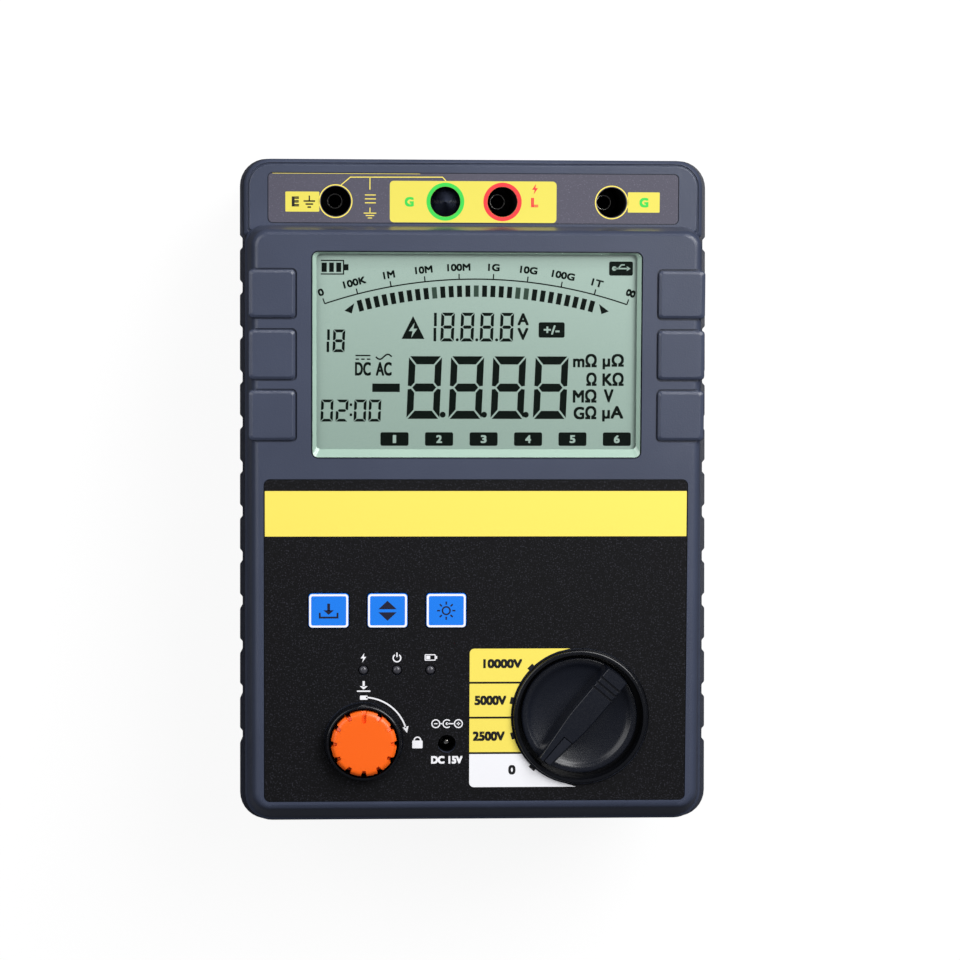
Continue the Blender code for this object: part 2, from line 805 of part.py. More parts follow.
def add_bar(bm):
    add_loft(
        bm,
        [
            at_height(bar_outline(0.7), KNOB_BASE_Z + 0.8),
            at_height(bar_outline(), BAR_TOP_Z - 0.4),
            at_height(bar_outline(-0.4), BAR_TOP_Z),
        ],
    )


def add_trim(bm):
    """What lies outside the knob's round edge."""
    low, high = KNOB_BASE_Z - 1.0, BAR_TOP_Z + 1.0
    profile = [(KNOB_R, low), (KNOB_R + 6.0, low), (KNOB_R + 6.0, high), (KNOB_R - 0.6, high)]
    add_tube(bm, KNOB, profile, KNOB_STEPS)


def add_bar_cuts(bm):
    """Seat of the pointer insert, and the grip lines at the tail."""
    seat = box_outline(8.0, 21.0, -0.6, 5.0, 0.2, steps=1)
    add_prism(bm, turned_outline(seat, KNOB, POINTER_ANGLE), BAR_TOP_Z - 1.6, BAR_TOP_Z + 1.0)
    for x in (-15.2, -13.2, -11.2):
        line = [(x, -6.0), (x + 0.8, -6.0), (x + 0.8, 6.0), (x, 6.0)]
        add_prism(bm, turned_outline(line, KNOB, POINTER_ANGLE), BAR_TOP_Z - 0.7, BAR_TOP_Z + 1.0)


def make_knob(black, insert, steel, phenolic, switch_case):
    """Range knob with its pointer insert, and the shaft, rotor and switch under it."""
    axis = pivot("range_axis", KNOB, KNOB_BASE_Z)
    profile = [
        (KNOB_R - 0.3, KNOB_BASE_Z),
        (KNOB_R, KNOB_BASE_Z + 0.3),
        (KNOB_R, KNOB_RIM_Z - 0.4),
        (KNOB_R - 0.4, KNOB_RIM_Z),
        (KNOB_R - 2.0, KNOB_RIM_Z),
        (KNOB_R - 4.4, KNOB_RIM_Z - 0.9),
        (KNOB_R - 8.4, KNOB_RIM_Z - 1.5),
        (1.0, KNOB_RIM_Z - 1.8),
    ]
    knob = turned_piece("range_knob", KNOB, profile, KNOB_STEPS, black, axis)
    shape(knob, "UNION", add_bar)
    shape(knob, "DIFFERENCE", add_trim)
    shape(knob, "DIFFERENCE", add_bar_cuts)
    hub = SHAFT_R + GAP
    bore = [(hub, KNOB_BASE_Z - 1.0), (hub, SHAFT_TOP_Z + GAP)]
    shape(knob, "DIFFERENCE", lambda bm: add_turned(bm, KNOB, bore, 20))

    wedge = turned_outline([(8.3, -0.3), (18.5, -0.3), (18.5, 2.0), (8.3, 2.9)], KNOB, POINTER_ANGLE)
    prism_piece("knob_pointer", wedge, BAR_TOP_Z - 1.3, BAR_TOP_Z, insert, axis)
    turned_piece("range_shaft", KNOB, [(SHAFT_R, 64.6), (SHAFT_R, SHAFT_TOP_Z)], 20, steel, axis)
    profile = [(hub, 66.5), (14.0, 66.5), (14.0, 68.5), (hub, 68.5)]
    tube_piece("range_rotor", KNOB, profile, SOCKET_STEPS, phenolic, axis)
    top = KNOB_FLOOR_Z - 2.0 - GAP
    profile = [(17.5, PART_Z), (17.5, top), (hub, top), (hub, top - 1.5), (15.5, top - 1.5), (15.5, 64.2)]
    turned_piece("range_switch", KNOB, profile, SOCKET_STEPS, switch_case)


# Inside and back


def make_electronics(board, potting, black, cell):
    prism_piece("main_board", box_outline(-59.0, 59.0, -98.0, 80.0, 2.0), BOARD_Z, BOARD_TOP_Z, board)
    prism_piece("hv_module", box_outline(-55.0, 5.0, 2.0, 70.0, 2.0), 5.4, 42.0, potting)
    profile = [(8.0, PART_Z), (8.0, 69.0), (1.2, 69.0), (1.2, 66.0)]
    turned_piece("buzzer", (45.0, -25.0), profile, 20, black)
    prism_piece("battery_pack", grown_box(BAY, -1.5, 6.0), 5.1, 28.5, cell)


def make_screw(name, centre, head_r, shank_r, heights, steel):
    """Pan-head screw driven from behind, with a cross recess. Heights: head's edge, its top and the tip."""
    edge, neck, tip = heights
    profile = [(head_r - 0.5, edge - 0.6), (head_r, edge), (head_r, neck), (shank_r, neck), (shank_r, tip)]
    screw = turned_piece(name, centre, profile, 12, steel)
    arm, half = head_r * 0.55, 0.35
    cross = []
    for turn in range(4):
        cross += turned_outline([(arm, -half), (arm, half), (half, half)], centre, turn * math.pi / 2.0)
    shape(screw, "DIFFERENCE", lambda bm: add_prism(bm, cross, edge - 2.0, edge + 0.2))


def make_door(material, steel):
    """Battery door with two counterbored holes, and its screws."""
    door = prism_piece("battery_door", grown_box(DOOR, -GAP, 2.7), BACK_Z + 0.1, 4.3, material)
    for side, x in (("left", -DOOR_SCREW_X), ("right", DOOR_SCREW_X)):
        centre = (x, DOOR_SCREW_Y)
        profile = [(2.7, 0.0), (2.7, 3.4), (1.7, 3.4), (1.7, 6.0)]
        shape(door, "DIFFERENCE", lambda bm: add_turned(bm, centre, profile, 16))
        make_screw(f"door_screw_{side}", centre, 2.4, 1.3, (2.6, 3.1, 10.0), steel)


def make_screws_and_feet(steel, rubber):
    for index, centre in enumerate(screw_points(), 1):
        heights = (17.6, 19.7, roof(centre[1]) - 2.0)
        make_screw(f"case_screw_{index}", centre, 3.4, 1.5, heights, steel)
    for index, centre in enumerate(foot_points(), 1):
        profile = [(FOOT_R - 0.8, 0.0), (FOOT_R, 0.6), (FOOT_R, 3.0)]
        turned_piece(f"foot_{index}", centre, profile, 20, rubber)


def main():
    clear_scene()
    charcoal = finish("charcoal_abs", (0.05, 0.056, 0.075), 0.42)
    dark = finish("black_abs", (0.016, 0.017, 0.024), 0.5)
    black = finish("black_nylon", (0.02, 0.02, 0.022), 0.5)
    rubber = finish("rubber", (0.02, 0.02, 0.02), 0.85)
    steel = finish("steel", (0.6, 0.6, 0.62), 0.3, metallic=1.0)
    nickel = finish("nickel", (0.75, 0.73, 0.68), 0.22, metallic=1.0)
    board = finish("fibreglass_board", (0.02, 0.2, 0.08), 0.45)
    lenses = {
        "left": finish("red_lens", (0.6, 0.05, 0.04), 0.2),
        "middle": finish("green_lens", (0.1, 0.5, 0.15), 0.2),
        "right": finish("amber_lens", (0.8, 0.4, 0.05), 0.2),
    }

    make_front_cover(charcoal)
    make_rear_case(dark)
    make_seal(rubber)
    make_films(
        finish("black_film", (0.02, 0.02, 0.026), 0.55),
        finish("grey_film", (0.035, 0.036, 0.045), 0.55),
    )
    make_window(finish("clear_acrylic", (0.8, 0.9, 0.85), 0.05, alpha=0.25))
    make_display(
        finish("lcd_glass", (0.32, 0.46, 0.38), 0.2),
        finish("white_diffuser", (0.8, 0.82, 0.8), 0.5),
        black,
        finish("amber_flex", (0.5, 0.25, 0.05), 0.4),
    )
    make_keys(finish("blue_silicone", (0.012, 0.24, 1.0), 0.45), board, steel)
    make_lamps(lenses)
    make_jack(black, nickel)
    make_sockets(black, nickel)
    make_button(finish("orange_abs", (1.0, 0.17, 0.012), 0.35), black, steel)
    make_knob(charcoal, black, steel, finish("phenolic", (0.35, 0.16, 0.06), 0.5), black)
    make_electronics(
        board,
        finish("potting_resin", (0.03, 0.03, 0.035), 0.3),
        black,
        finish("battery_wrap", (0.05, 0.2, 0.5), 0.35),
    )
    make_door(dark, steel)
    make_screws_and_feet(steel, rubber)


if __name__ == "__main__":
    main()
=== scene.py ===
"""Looks of the insulation resistance tester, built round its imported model.

Sizes are in millimetres and become metres where a mesh is made. The tester lies on its back: the face looks
up (+Z), the terminal deck is at +Y and the range knob on the +X side.
"""

import logging
import math
from collections.abc import Iterable, Sequence
from dataclasses import dataclass, field
from enum import Enum

import bmesh
import bpy
import numpy as np
from bpy.types import Material, Node, NodeTree, Object
from mathutils import Matrix, Vector


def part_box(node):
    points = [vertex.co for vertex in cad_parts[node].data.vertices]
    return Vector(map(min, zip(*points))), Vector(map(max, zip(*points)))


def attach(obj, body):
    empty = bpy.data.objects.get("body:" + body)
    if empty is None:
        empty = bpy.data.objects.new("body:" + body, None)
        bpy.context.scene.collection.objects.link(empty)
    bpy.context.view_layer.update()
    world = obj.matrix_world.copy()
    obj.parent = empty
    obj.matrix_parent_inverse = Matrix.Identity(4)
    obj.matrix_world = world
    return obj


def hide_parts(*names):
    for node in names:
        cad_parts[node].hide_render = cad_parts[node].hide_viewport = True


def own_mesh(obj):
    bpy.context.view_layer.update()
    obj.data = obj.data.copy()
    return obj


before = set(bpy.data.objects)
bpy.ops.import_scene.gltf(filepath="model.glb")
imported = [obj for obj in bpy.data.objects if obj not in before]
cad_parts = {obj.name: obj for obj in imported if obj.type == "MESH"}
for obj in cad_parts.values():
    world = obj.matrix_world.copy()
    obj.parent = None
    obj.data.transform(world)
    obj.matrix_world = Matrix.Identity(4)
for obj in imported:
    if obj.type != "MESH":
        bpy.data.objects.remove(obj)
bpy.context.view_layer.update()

LOG = logging.getLogger("tester")
MM = 0.001
Part = tuple[np.ndarray, list[tuple[int, ...]]]
Area = tuple[float, float, float, float]  # x low, x high, y low, y high

# Heights and plan of the case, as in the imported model
HALF_WIDTH = 77.6
HALF_LENGTH = 109.4
FACE_Z = 82.0
CEILING_Z = 79.0
DECK_Z = 57.5
BACK_Z = 2.0
DECK_EDGE_Y = 87.5
PARTING_Z = 61.5
PARTING_FALL = 0.0728
GROOVE_PITCH = 14.84
GROOVE_COUNT = 12
GROOVE_DEPTH = 0.85
KNOB = (34.5, -73.3)
BUTTON = (-36.8, -81.2)
JACK = (-9.4, -82.3)
KEY_X = {"left": -48.3, "middle": -29.05, "right": -9.8}
KEY_Y = -38.0
LED_X = {"left": -36.9, "middle": -25.9, "right": -14.9}
LED_Y = -57.7
SOCKET_X = {"earth": -45.9, "guard_left": -9.5, "line": 9.5, "guard_right": 45.9}
SOCKET_Y = 95.5
SOCKET_R = 5.0
KEY_HOLE = (6.9, 6.0)  # half width, half height
LAMP_HOLE_R = 1.75
INLET_R = 3.0
FILM = 0.6
RING_R = 22.1
COLLAR_R = 12.4
POINTER_ANGLE = math.radians(230.0)
SCREEN: Area = (-52.6, 52.6, 14.4, 78.9)
WINDOW: Area = (-54.0, 54.0, 11.9, 79.5)
OVERLAY: Area = (-69.5, 69.5, -101.4, 5.2)
LABEL: Area = (-68.4, 68.4, 88.2, 105.0)
DOOR: Area = (-56.0, 56.0, -89.7, -18.0)
BAY: Area = (-52.0, 52.0, -84.0, -22.0)
SCREW_POINTS = [(x, y) for y in (-97.0, 97.0) for x in (-66.0, 66.0)]
FOOT_POINTS = [(x, y) for y in (-96.5, 96.5) for x in (-43.0, 43.0)]
DOOR_SCREWS = {"left": (-30.0, -86.2), "right": (30.0, -86.2)}


def linear(hex_colour: str) -> tuple[float, float, float, float]:
    """Turns an sRGB hex colour into linear RGBA.

    Args:
        hex_colour: six hex digits after a hash sign.

    Returns:
        Red, green, blue and an alpha of one.
    """
    parts = [int(hex_colour[i : i + 2], 16) / 255.0 for i in (1, 3, 5)]
    red, green, blue = (c / 12.92 if c <= 0.04045 else ((c + 0.055) / 1.055) ** 2.4 for c in parts)
    return red, green, blue, 1.0


def add(tree: NodeTree, kind: str, sockets: dict | None = None, **settings: object) -> Node:
    """Adds a node.

    Args:
        tree: node tree that gets it.
        kind: the node's type name.
        sockets: input name or index to a value, or to an output socket that is linked to it.
        settings: the node's own properties.

    Returns:
        The new node.
    """
    node = tree.nodes.new(kind)
    for name, value in settings.items():
        setattr(node, name, value)
    for name, value in (sockets or {}).items():
        if isinstance(value, bpy.types.NodeSocket):
            tree.links.new(value, node.inputs[name])
        else:
            node.inputs[name].default_value = value
    return node


# Finishes


@dataclass(frozen=True)
class Finish:
    """Moulded, printed or plated surface: two close colours in soft patches, fine grain and uneven gloss.

    Sizes are in millimetres. A grain under about 0.3 mm wouldn't show, so it is drawn that coarse.
    """

    name: str
    base: str
    drift: str
    roughness: float
    spread: float = 0.05
    grain: float = 0.35
    relief: float = 0.006
    patch: float = 25.0
    metallic: float = 0.0
    ior: float = 1.5
    alpha: float = 1.0
    coat: float = 0.0
    glow: float = 0.0
    speck: str = ""
    speck_size: float = 0.45
    speck_share: float = 0.62

    def colour(self, tree: NodeTree, place: bpy.types.NodeSocket) -> bpy.types.NodeSocket:
        """Base colour drifting to its neighbour, with specks where the finish has them.

        Args:
            tree: the material's nodes.
            place: object coordinates.

        Returns:
            The colour socket.
        """
        scale = 1.0 / (self.patch * MM)
        cloud = add(tree, "ShaderNodeTexNoise", {"Vector": place, "Scale": scale, "Detail": 3.0})
        shades = {0: cloud.outputs["Fac"], 6: linear(self.base), 7: linear(self.drift)}
        mixed = add(tree, "ShaderNodeMix", shades, data_type="RGBA").outputs[2]
        if not self.speck:
            return mixed
        scale = 1.0 / (self.speck_size * MM)
        dots = add(tree, "ShaderNodeTexNoise", {"Vector": place, "Scale": scale, "Detail": 1.0})
        least = self.speck_share
        limits = {"Value": dots.outputs["Fac"], "From Min": least, "From Max": least + 0.12}
        share = add(tree, "ShaderNodeMapRange", limits)
        shades = {0: share.outputs["Result"], 6: mixed, 7: linear(self.speck)}
        return add(tree, "ShaderNodeMix", shades, data_type="RGBA").outputs[2]

    def material(self) -> Material:
        """Makes the material, or finds it if it was made before.

        Returns:
            The material.
        """
        made = bpy.data.materials.get(self.name)
        if made:
            return made
        made = bpy.data.materials.new(self.name)
        made.use_nodes = True
        tree = made.node_tree
        shader = tree.nodes["Principled BSDF"]
        place = add(tree, "ShaderNodeTexCoord").outputs["Object"]
        tree.links.new(self.colour(tree, place), shader.inputs["Base Color"])
        scale = 1.0 / (self.grain * MM)
        grain = add(tree, "ShaderNodeTexNoise", {"Vector": place, "Scale": scale, "Detail": 2.0})
        limits = {"Value": grain.outputs["Fac"], "From Min": 0.3, "From Max": 0.7}
        limits |= {"To Min": self.roughness - self.spread, "To Max": self.roughness + self.spread}
        gloss = add(tree, "ShaderNodeMapRange", limits)
        tree.links.new(gloss.outputs["Result"], shader.inputs["Roughness"])
        relief = {"Height": grain.outputs["Fac"], "Distance": self.relief * MM, "Strength": 1.0}
        bump = add(tree, "ShaderNodeBump", relief)
        tree.links.new(bump.outputs["Normal"], shader.inputs["Normal"])
        shader.inputs["Metallic"].default_value = self.metallic
        shader.inputs["IOR"].default_value = self.ior
        shader.inputs["Alpha"].default_value = self.alpha
        shader.inputs["Coat Weight"].default_value = self.coat
        shader.inputs["Emission Color"].default_value = linear(self.base)
        shader.inputs["Emission Strength"].default_value = self.glow
        return made


@dataclass(frozen=True)
class PanelGlassPaintedLight(Finish):
    """Polarising film over the display's glass: grey-green and softly clouded, with painted light making it
    paler towards the terminals.
    """

    # painted light: the colour at the far, terminal side is paler
    far: str = "#b9c9bf"
    low_y: float = 14.0
    high_y: float = 79.0

    def colour(self, tree: NodeTree, place: bpy.types.NodeSocket) -> bpy.types.NodeSocket:
        """Colour running from the near edge to the far one: painted light, paler on the terminal side where
        the light falls from.

        Args:
            tree: the material's nodes.
            place: object coordinates.

        Returns:
            The colour socket.
        """
        cloud = super().colour(tree, place)
        axis = add(tree, "ShaderNodeSeparateXYZ", {"Vector": place})
        limits = {"Value": axis.outputs["Y"], "From Min": self.low_y * MM, "From Max": self.high_y * MM}
        painted_light_run = add(tree, "ShaderNodeMapRange", limits)
        shades = {0: painted_light_run.outputs["Result"], 6: cloud, 7: linear(self.far)}
        return add(tree, "ShaderNodeMix", shades, data_type="RGBA").outputs[2]


@dataclass(frozen=True)
class TurnedMetal(Finish):
    """Plated metal with fine rings left by the lathe: the relief follows the height along Z."""

    ring: float = 0.35

    def material(self) -> Material:
        """Adds the rings to the plain finish.

        Returns:
            The material.
        """
        made = super().material()
        tree = made.node_tree
        shader = tree.nodes["Principled BSDF"]
        place = add(tree, "ShaderNodeTexCoord").outputs["Object"]
        wave = {"Vector": place, "Scale": 1.0 / (self.ring * MM) / 6.3, "Distortion": 0.4}
        rings = add(tree, "ShaderNodeTexWave", wave, bands_direction="Z")
        relief = {"Height": rings.outputs["Fac"], "Distance": 0.01 * MM, "Strength": 0.4}
        bump = add(tree, "ShaderNodeBump", relief)
        tree.links.new(bump.outputs["Normal"], shader.inputs["Normal"])
        return made


class Finishes:
    """Every finish of the tester."""

    # Moulded ABS, spark-eroded tool: a satin blue-grey with a fine grain
    BEZEL = Finish("charcoal_abs_moulded", "#3a4052", "#434a5e", 0.34, grain=0.5, relief=0.03)
    # The same plastic in a darker navy for the back shell, a little rougher
    SHELL = Finish("navy_abs_moulded", "#1a1e2c", "#212637", 0.38, grain=0.5, relief=0.02)
    # Polyester film printed from behind, matt with pale specks
    FACE_FILM = Finish(
        "black_polyester_film", "#060609", "#09090c", 0.55,
        ior=1.27, speck="#2b2b32", speck_share=0.58, relief=0.004,
    )
    DECK_FILM = Finish(
        "grey_polyester_film", "#474553", "#4d4b5a", 0.5, speck="#5f5c6c", speck_share=0.6, relief=0.004
    )
    # Cast acrylic, polished: nearly clear; its bevelled edge gets a pale green band of painted light, the lit
    # display seen through it
    PANE = Finish(
        "clear_cast_acrylic", "#141f1a", "#17231d", 0.05, spread=0.01, alpha=0.03, grain=6.0, relief=0.0
    )
    PANE_EDGE_PAINTED_LIGHT = Finish("acrylic_edge_tint", "#a3bfb0", "#afcabb", 0.2, spread=0.03, coat=0.5, relief=0.001)
    # Display film, with painted light running paler towards the terminals
    LCD = PanelGlassPaintedLight("lcd_polariser_film", "#92a99e", "#9ab1a6", 0.3, patch=60.0, relief=0.0, far="#a6bdb2")
    # Injection-moulded silicone, silk-matt
    KEY = Finish("blue_silicone_moulded", "#0a78ea", "#117ff0", 0.5, spread=0.04, ior=1.4, relief=0.004)
    CAP = Finish("orange_abs_moulded", "#ff640e", "#ff6b14", 0.36, relief=0.006)
    KNOB = Finish("knob_abs_moulded", "#11131b", "#161a24", 0.28, grain=0.4, relief=0.01)
    # Painted shade: a near-black copy of the bezel plastic for the raised rings and their wells
    RING_SHADE = Finish("ring_abs_moulded", "#0c0d12", "#101217", 0.22, relief=0.004)
    INSERT = Finish("insert_abs_moulded", "#171a23", "#1c1f29", 0.32, relief=0.006)
    NYLON = Finish("black_nylon_moulded", "#121214", "#18181b", 0.42, relief=0.01)
    RUBBER = Finish("black_rubber_moulded", "#161617", "#1d1d1f", 0.8, grain=0.5, relief=0.03)
    # Painted shade: near-black contact tubes stand for the shade deep inside the wells
    TUBE_SHADE = TurnedMetal("black_chromed_tube", "#141416", "#18181a", 0.4, metallic=1.0)
    NICKEL = TurnedMetal("nickel_plated_brass", "#dcd8cf", "#e4e1d9", 0.24, metallic=1.0)
    STEEL = TurnedMetal("zinc_plated_steel", "#c5c7ca", "#d2d3d4", 0.32, metallic=1.0)
    DIFFUSER = Finish("white_acrylic_diffuser", "#e6e8e4", "#eef0ec", 0.5)
    BOARD = Finish("green_solder_resist", "#12603a", "#187145", 0.35, patch=4.0, coat=0.2)
    FLEX = Finish("polyimide_film", "#b9782a", "#c48536", 0.3, patch=3.0)
    PHENOLIC = Finish("phenolic_laminate", "#9c6a3f", "#a97548", 0.5, patch=5.0)
    POTTING = Finish("cast_potting_resin", "#2a2a2d", "#333336", 0.28, grain=3.0, relief=0.03)
    WRAP = Finish("pvc_shrink_sleeve", "#2c6fb4", "#3379c0", 0.3, grain=4.0, relief=0.05)
    # Unlit lamps behind a smoked lens
    LENS = Finish("smoked_lens", "#3a3a40", "#46464d", 0.22, coat=0.4)
    FLOOR = Finish("lit_white_floor", "#5a5a5a", "#5c5c5c", 0.9, patch=900.0, relief=0.0, glow=8.9)


class Ink(Enum):
    """Screen-printing inks and the display's segments, each with its colour."""

    YELLOW = "#fae662"
    # painted shade: the yellow ink darkened for the deck, which sits nearer the lights
    LEMON = "#e3d657"
    WHITE = "#f7f7fb"
    BLACK = "#0c0c10"
    GREEN = "#35d04a"
    RED = "#e8353a"
    NAVY = "#121430"
    SEGMENT = "#020c07"
    FAINT = "#35483d"
    PALE = "#9db4a9"

    def finish(self) -> Finish:
        """Dried ink: an even colour, a little glossier than the film."""
        ior = 1.2 if self in (Ink.SEGMENT, Ink.FAINT) else 1.45
        name = f"{self.name.lower()}_ink"
        return Finish(name, self.value, self.value, 0.45, grain=0.4, relief=0.002, ior=ior)


# Outlines and surfaces


def rounded(area: Area, radius: float, upper: float | None = None, steps: int = 8) -> np.ndarray:
    """Rectangle whose corners are quarter circles: centre plus radius times (cos, sin) of the turning angle.

    Args:
        area: x low, x high, y low, y high.
        radius: of the two corners at y low, and of all four if upper is None.
        upper: radius of the two corners at y high.
        steps: chords in each corner.

    Returns:
        Points, anticlockwise, one row each.
    """
    x_low, x_high, y_low, y_high = area
    top = radius if upper is None else upper
    radii = np.array([top, top, radius, radius])[:, None]
    centre_x = np.array([x_high - top, x_low + top, x_low + radius, x_high - radius])[:, None]
    centre_y = np.array([y_high - top, y_high - top, y_low + radius, y_low + radius])[:, None]
    turn = np.radians(90.0 * np.arange(4)[:, None] + np.linspace(0.0, 90.0, steps + 1))
    return np.stack([centre_x + radii * np.cos(turn), centre_y + radii * np.sin(turn)], -1).reshape(-1, 2)


def grown(area: Area, growth: float) -> Area:
    """Area with every side moved out by growth."""
    return area[0] - growth, area[1] + growth, area[2] - growth, area[3] + growth


def about(centre: Sequence[float], half_x: float, half_y: float) -> Area:
    """Area round a centre."""
    return centre[0] - half_x, centre[0] + half_x, centre[1] - half_y, centre[1] + half_y


def circle(centre: Sequence[float], radius: float, steps: int = 48) -> np.ndarray:
    """Centre plus radius times (cos, sin) of evenly spaced angles."""
    angle = np.linspace(0.0, 2.0 * np.pi, steps, endpoint=False)
    return np.column_stack([centre[0] + radius * np.cos(angle), centre[1] + radius * np.sin(angle)])


def turned_flat(points: Sequence | np.ndarray, centre: Sequence[float], angle: float) -> np.ndarray:
    """Points turned about the origin by an angle, then moved to a centre."""
    cos, sin = math.cos(angle), math.sin(angle)
    return np.asarray(points, float) @ np.array([[cos, sin], [-sin, cos]]) + np.asarray(centre, float)


def at(outline: np.ndarray, height: float, slope: float = 0.0) -> np.ndarray:
    """Outline raised to height plus slope times y."""
    return np.column_stack([outline, height + slope * outline[:, 1]])


def soften(points: Sequence | np.ndarray, radius: float | Sequence[float], steps: int = 4) -> np.ndarray:
    """Rounds a profile's corners: each becomes a parabola from a radius before it to a radius past it.

    Args:
        points: rows of any width; the first and last stay.
        radius: one for all corners, or one for each point; 0 keeps a corner.
        steps: chords in each curve.

    Returns:
        The longer profile.
    """
    rows = np.asarray(points, float)
    radii = np.broadcast_to(radius, len(rows))
    share = np.linspace(0.0, 1.0, steps + 1)[:, None]
    made = [rows[:1]]
    for before, corner, after, reach in zip(rows, rows[1:], rows[2:], radii[1:]):
        if reach <= 0.0:
            made.append(corner[None])
            continue
        start, end = (
            corner + (side - corner) * min(0.48, reach / max(np.linalg.norm(side - corner), 1e-9))
            for side in (before, after)
        )
        made.append((1.0 - share) ** 2 * start + 2.0 * share * (1.0 - share) * corner + share**2 * end)
    made.append(rows[-1:])
    return np.concatenate(made)


def skin(rings: Sequence | np.ndarray, loop: bool = False) -> Part:
    """Surface through rings of equal count: grid point (i, j) joins its neighbours round and along.

    Args:
        rings: rings from first to last.
        loop: the last ring joins the first; otherwise each end gets a flat face.

    Returns:
        Corners and faces.
    """
    grid = np.asarray(rings, float)
    rows, count = grid.shape[:2]
    low = np.arange(rows if loop else rows - 1)[:, None] * count + np.arange(count)
    high = (low + count) % (rows * count)
    quads = np.stack([low, np.roll(low, -1, 1), np.roll(high, -1, 1), high], -1).reshape(-1, 4)
    faces = [tuple(quad) for quad in quads.tolist()]
    if not loop:
        faces.append(tuple(range(count))[::-1])
        faces.append(tuple(range((rows - 1) * count, rows * count)))
    return grid.reshape(-1, 3), faces


def slab(outline: np.ndarray, low: float, high: float) -> Part:
    """Flat plate with an outline."""
    return skin([at(outline, low), at(outline, high)])


def lathe(
    centre: Sequence[float], profile: Sequence | np.ndarray, steps: int = 48, loop: bool = False
) -> Part:
    """Profile of (radius, z) carried round a vertical axis: radius times (cos, sin), at its z.

    Args:
        centre: the axis.
        profile: from the foot of the axis, outside, to its top; or a closed loop.
        steps: facets round the axis.
        loop: the profile is closed.

    Returns:
        Corners and faces.
    """
    radius, height = np.asarray(profile, float).T
    angle = np.linspace(0.0, 2.0 * np.pi, steps, endpoint=False)
    x = centre[0] + np.outer(radius, np.cos(angle))
    y = centre[1] + np.outer(radius, np.sin(angle))
    return skin(np.stack([x, y, np.broadcast_to(height[:, None], x.shape)], -1), loop)


def merged(parts: Sequence[Part]) -> Part:
    """Several parts as one, each one's face numbers moved past the corners before it."""
    corners, faces, count = [], [], 0
    for points, own in parts:
        corners.append(points)
        faces += [tuple(i + count for i in face) for face in own]
        count += len(points)
    return np.concatenate(corners), faces


def stroke(path: Sequence | np.ndarray, width: float, low: float, high: float) -> Part:
    """Line of a width: the path moved half the width to each side along its mitred normals."""
    points = np.asarray(path, float)
    along = np.diff(points, axis=0)
    along /= np.linalg.norm(along, axis=1)[:, None]
    before, after = np.vstack([along[:1], along]), np.vstack([along, along[-1:]])
    normal = np.column_stack([-(before + after)[:, 1], (before + after)[:, 0]])
    normal /= np.linalg.norm(normal, axis=1)[:, None]
    mitre = 1.0 / np.maximum(0.4, np.abs((normal * np.column_stack([-after[:, 1], after[:, 0]])).sum(1)))
    shift = normal * (mitre * width / 2.0)[:, None]
    return slab(np.vstack([points - shift, (points + shift)[::-1]]), low, high)


def band(
    centre: Sequence[float], radius: float, width: float, start: float, end: float, steps: int = 32
) -> np.ndarray:
    """Part of a ring as an outline: an outer arc forwards, an inner one back. Angles are degrees from +X."""
    angle = np.radians(np.linspace(start, end, steps))
    unit = np.column_stack([np.cos(angle), np.sin(angle)])
    inner, outer = radius - width / 2.0, radius + width / 2.0
    return np.vstack([unit * outer, (unit * inner)[::-1]]) + np.asarray(centre, float)


def hoop(outer: np.ndarray, inner: np.ndarray, low: float, high: float) -> Part:
    """Flat frame between two outlines of equal count."""
    return skin([at(outer, low), at(outer, high), at(inner, high), at(inner, low)], loop=True)


def words(text: str, area: Area, low: float, high: float, bold: float = 0.0, turn: float = 0.0) -> Part:
    """Numbers and symbols, made a mesh, fitted to an area and then turned about its middle.

    Args:
        text: what is printed.
        area: where it goes, before it is turned.
        low: underside of the ink.
        high: top of the ink.
        bold: how far the strokes grow on each side: the letters are laid down four times, moved by this.
        turn: degrees, anticlockwise.

    Returns:
        Corners and faces.
    """
    curve = bpy.data.curves.new("print", "FONT")
    curve.body, curve.extrude, curve.resolution_u = text, 0.5, 4
    holder = bpy.data.objects.new("print", curve)
    bpy.context.scene.collection.objects.link(holder)
    graph = bpy.context.evaluated_depsgraph_get()
    mesh = bpy.data.meshes.new_from_object(holder.evaluated_get(graph))
    points = np.zeros(len(mesh.vertices) * 3)
    mesh.vertices.foreach_get("co", points)
    points = points.reshape(-1, 3)
    faces = [tuple(face.vertices) for face in mesh.polygons]
    bpy.data.objects.remove(holder)
    bpy.data.curves.remove(curve)
    bpy.data.meshes.remove(mesh)
    least, most = points.min(0), points.max(0)
    x_low, x_high, y_low, y_high = area
    middle = np.array([x_low + x_high, y_low + y_high]) / 2.0
    share = (points - least) / (most - least) - 0.5
    size = np.array([x_high - x_low, y_high - y_low]) - 2.0 * bold
    copies = []
    shifts = [(side, end) for end in (-1.0, 1.0) for side in (-1.0, 1.0)] if bold else [(0.0, 0.0)]
    for index, (side, end) in enumerate(shifts):
        flat = turned_flat(share[:, :2] * size + (side * bold, end * bold), middle, math.radians(turn))
        top = high - 0.002 * index
        copies.append((np.column_stack([flat, low + (share[:, 2] + 0.5) * (top - low)]), faces))
    return merged(copies)


# Objects


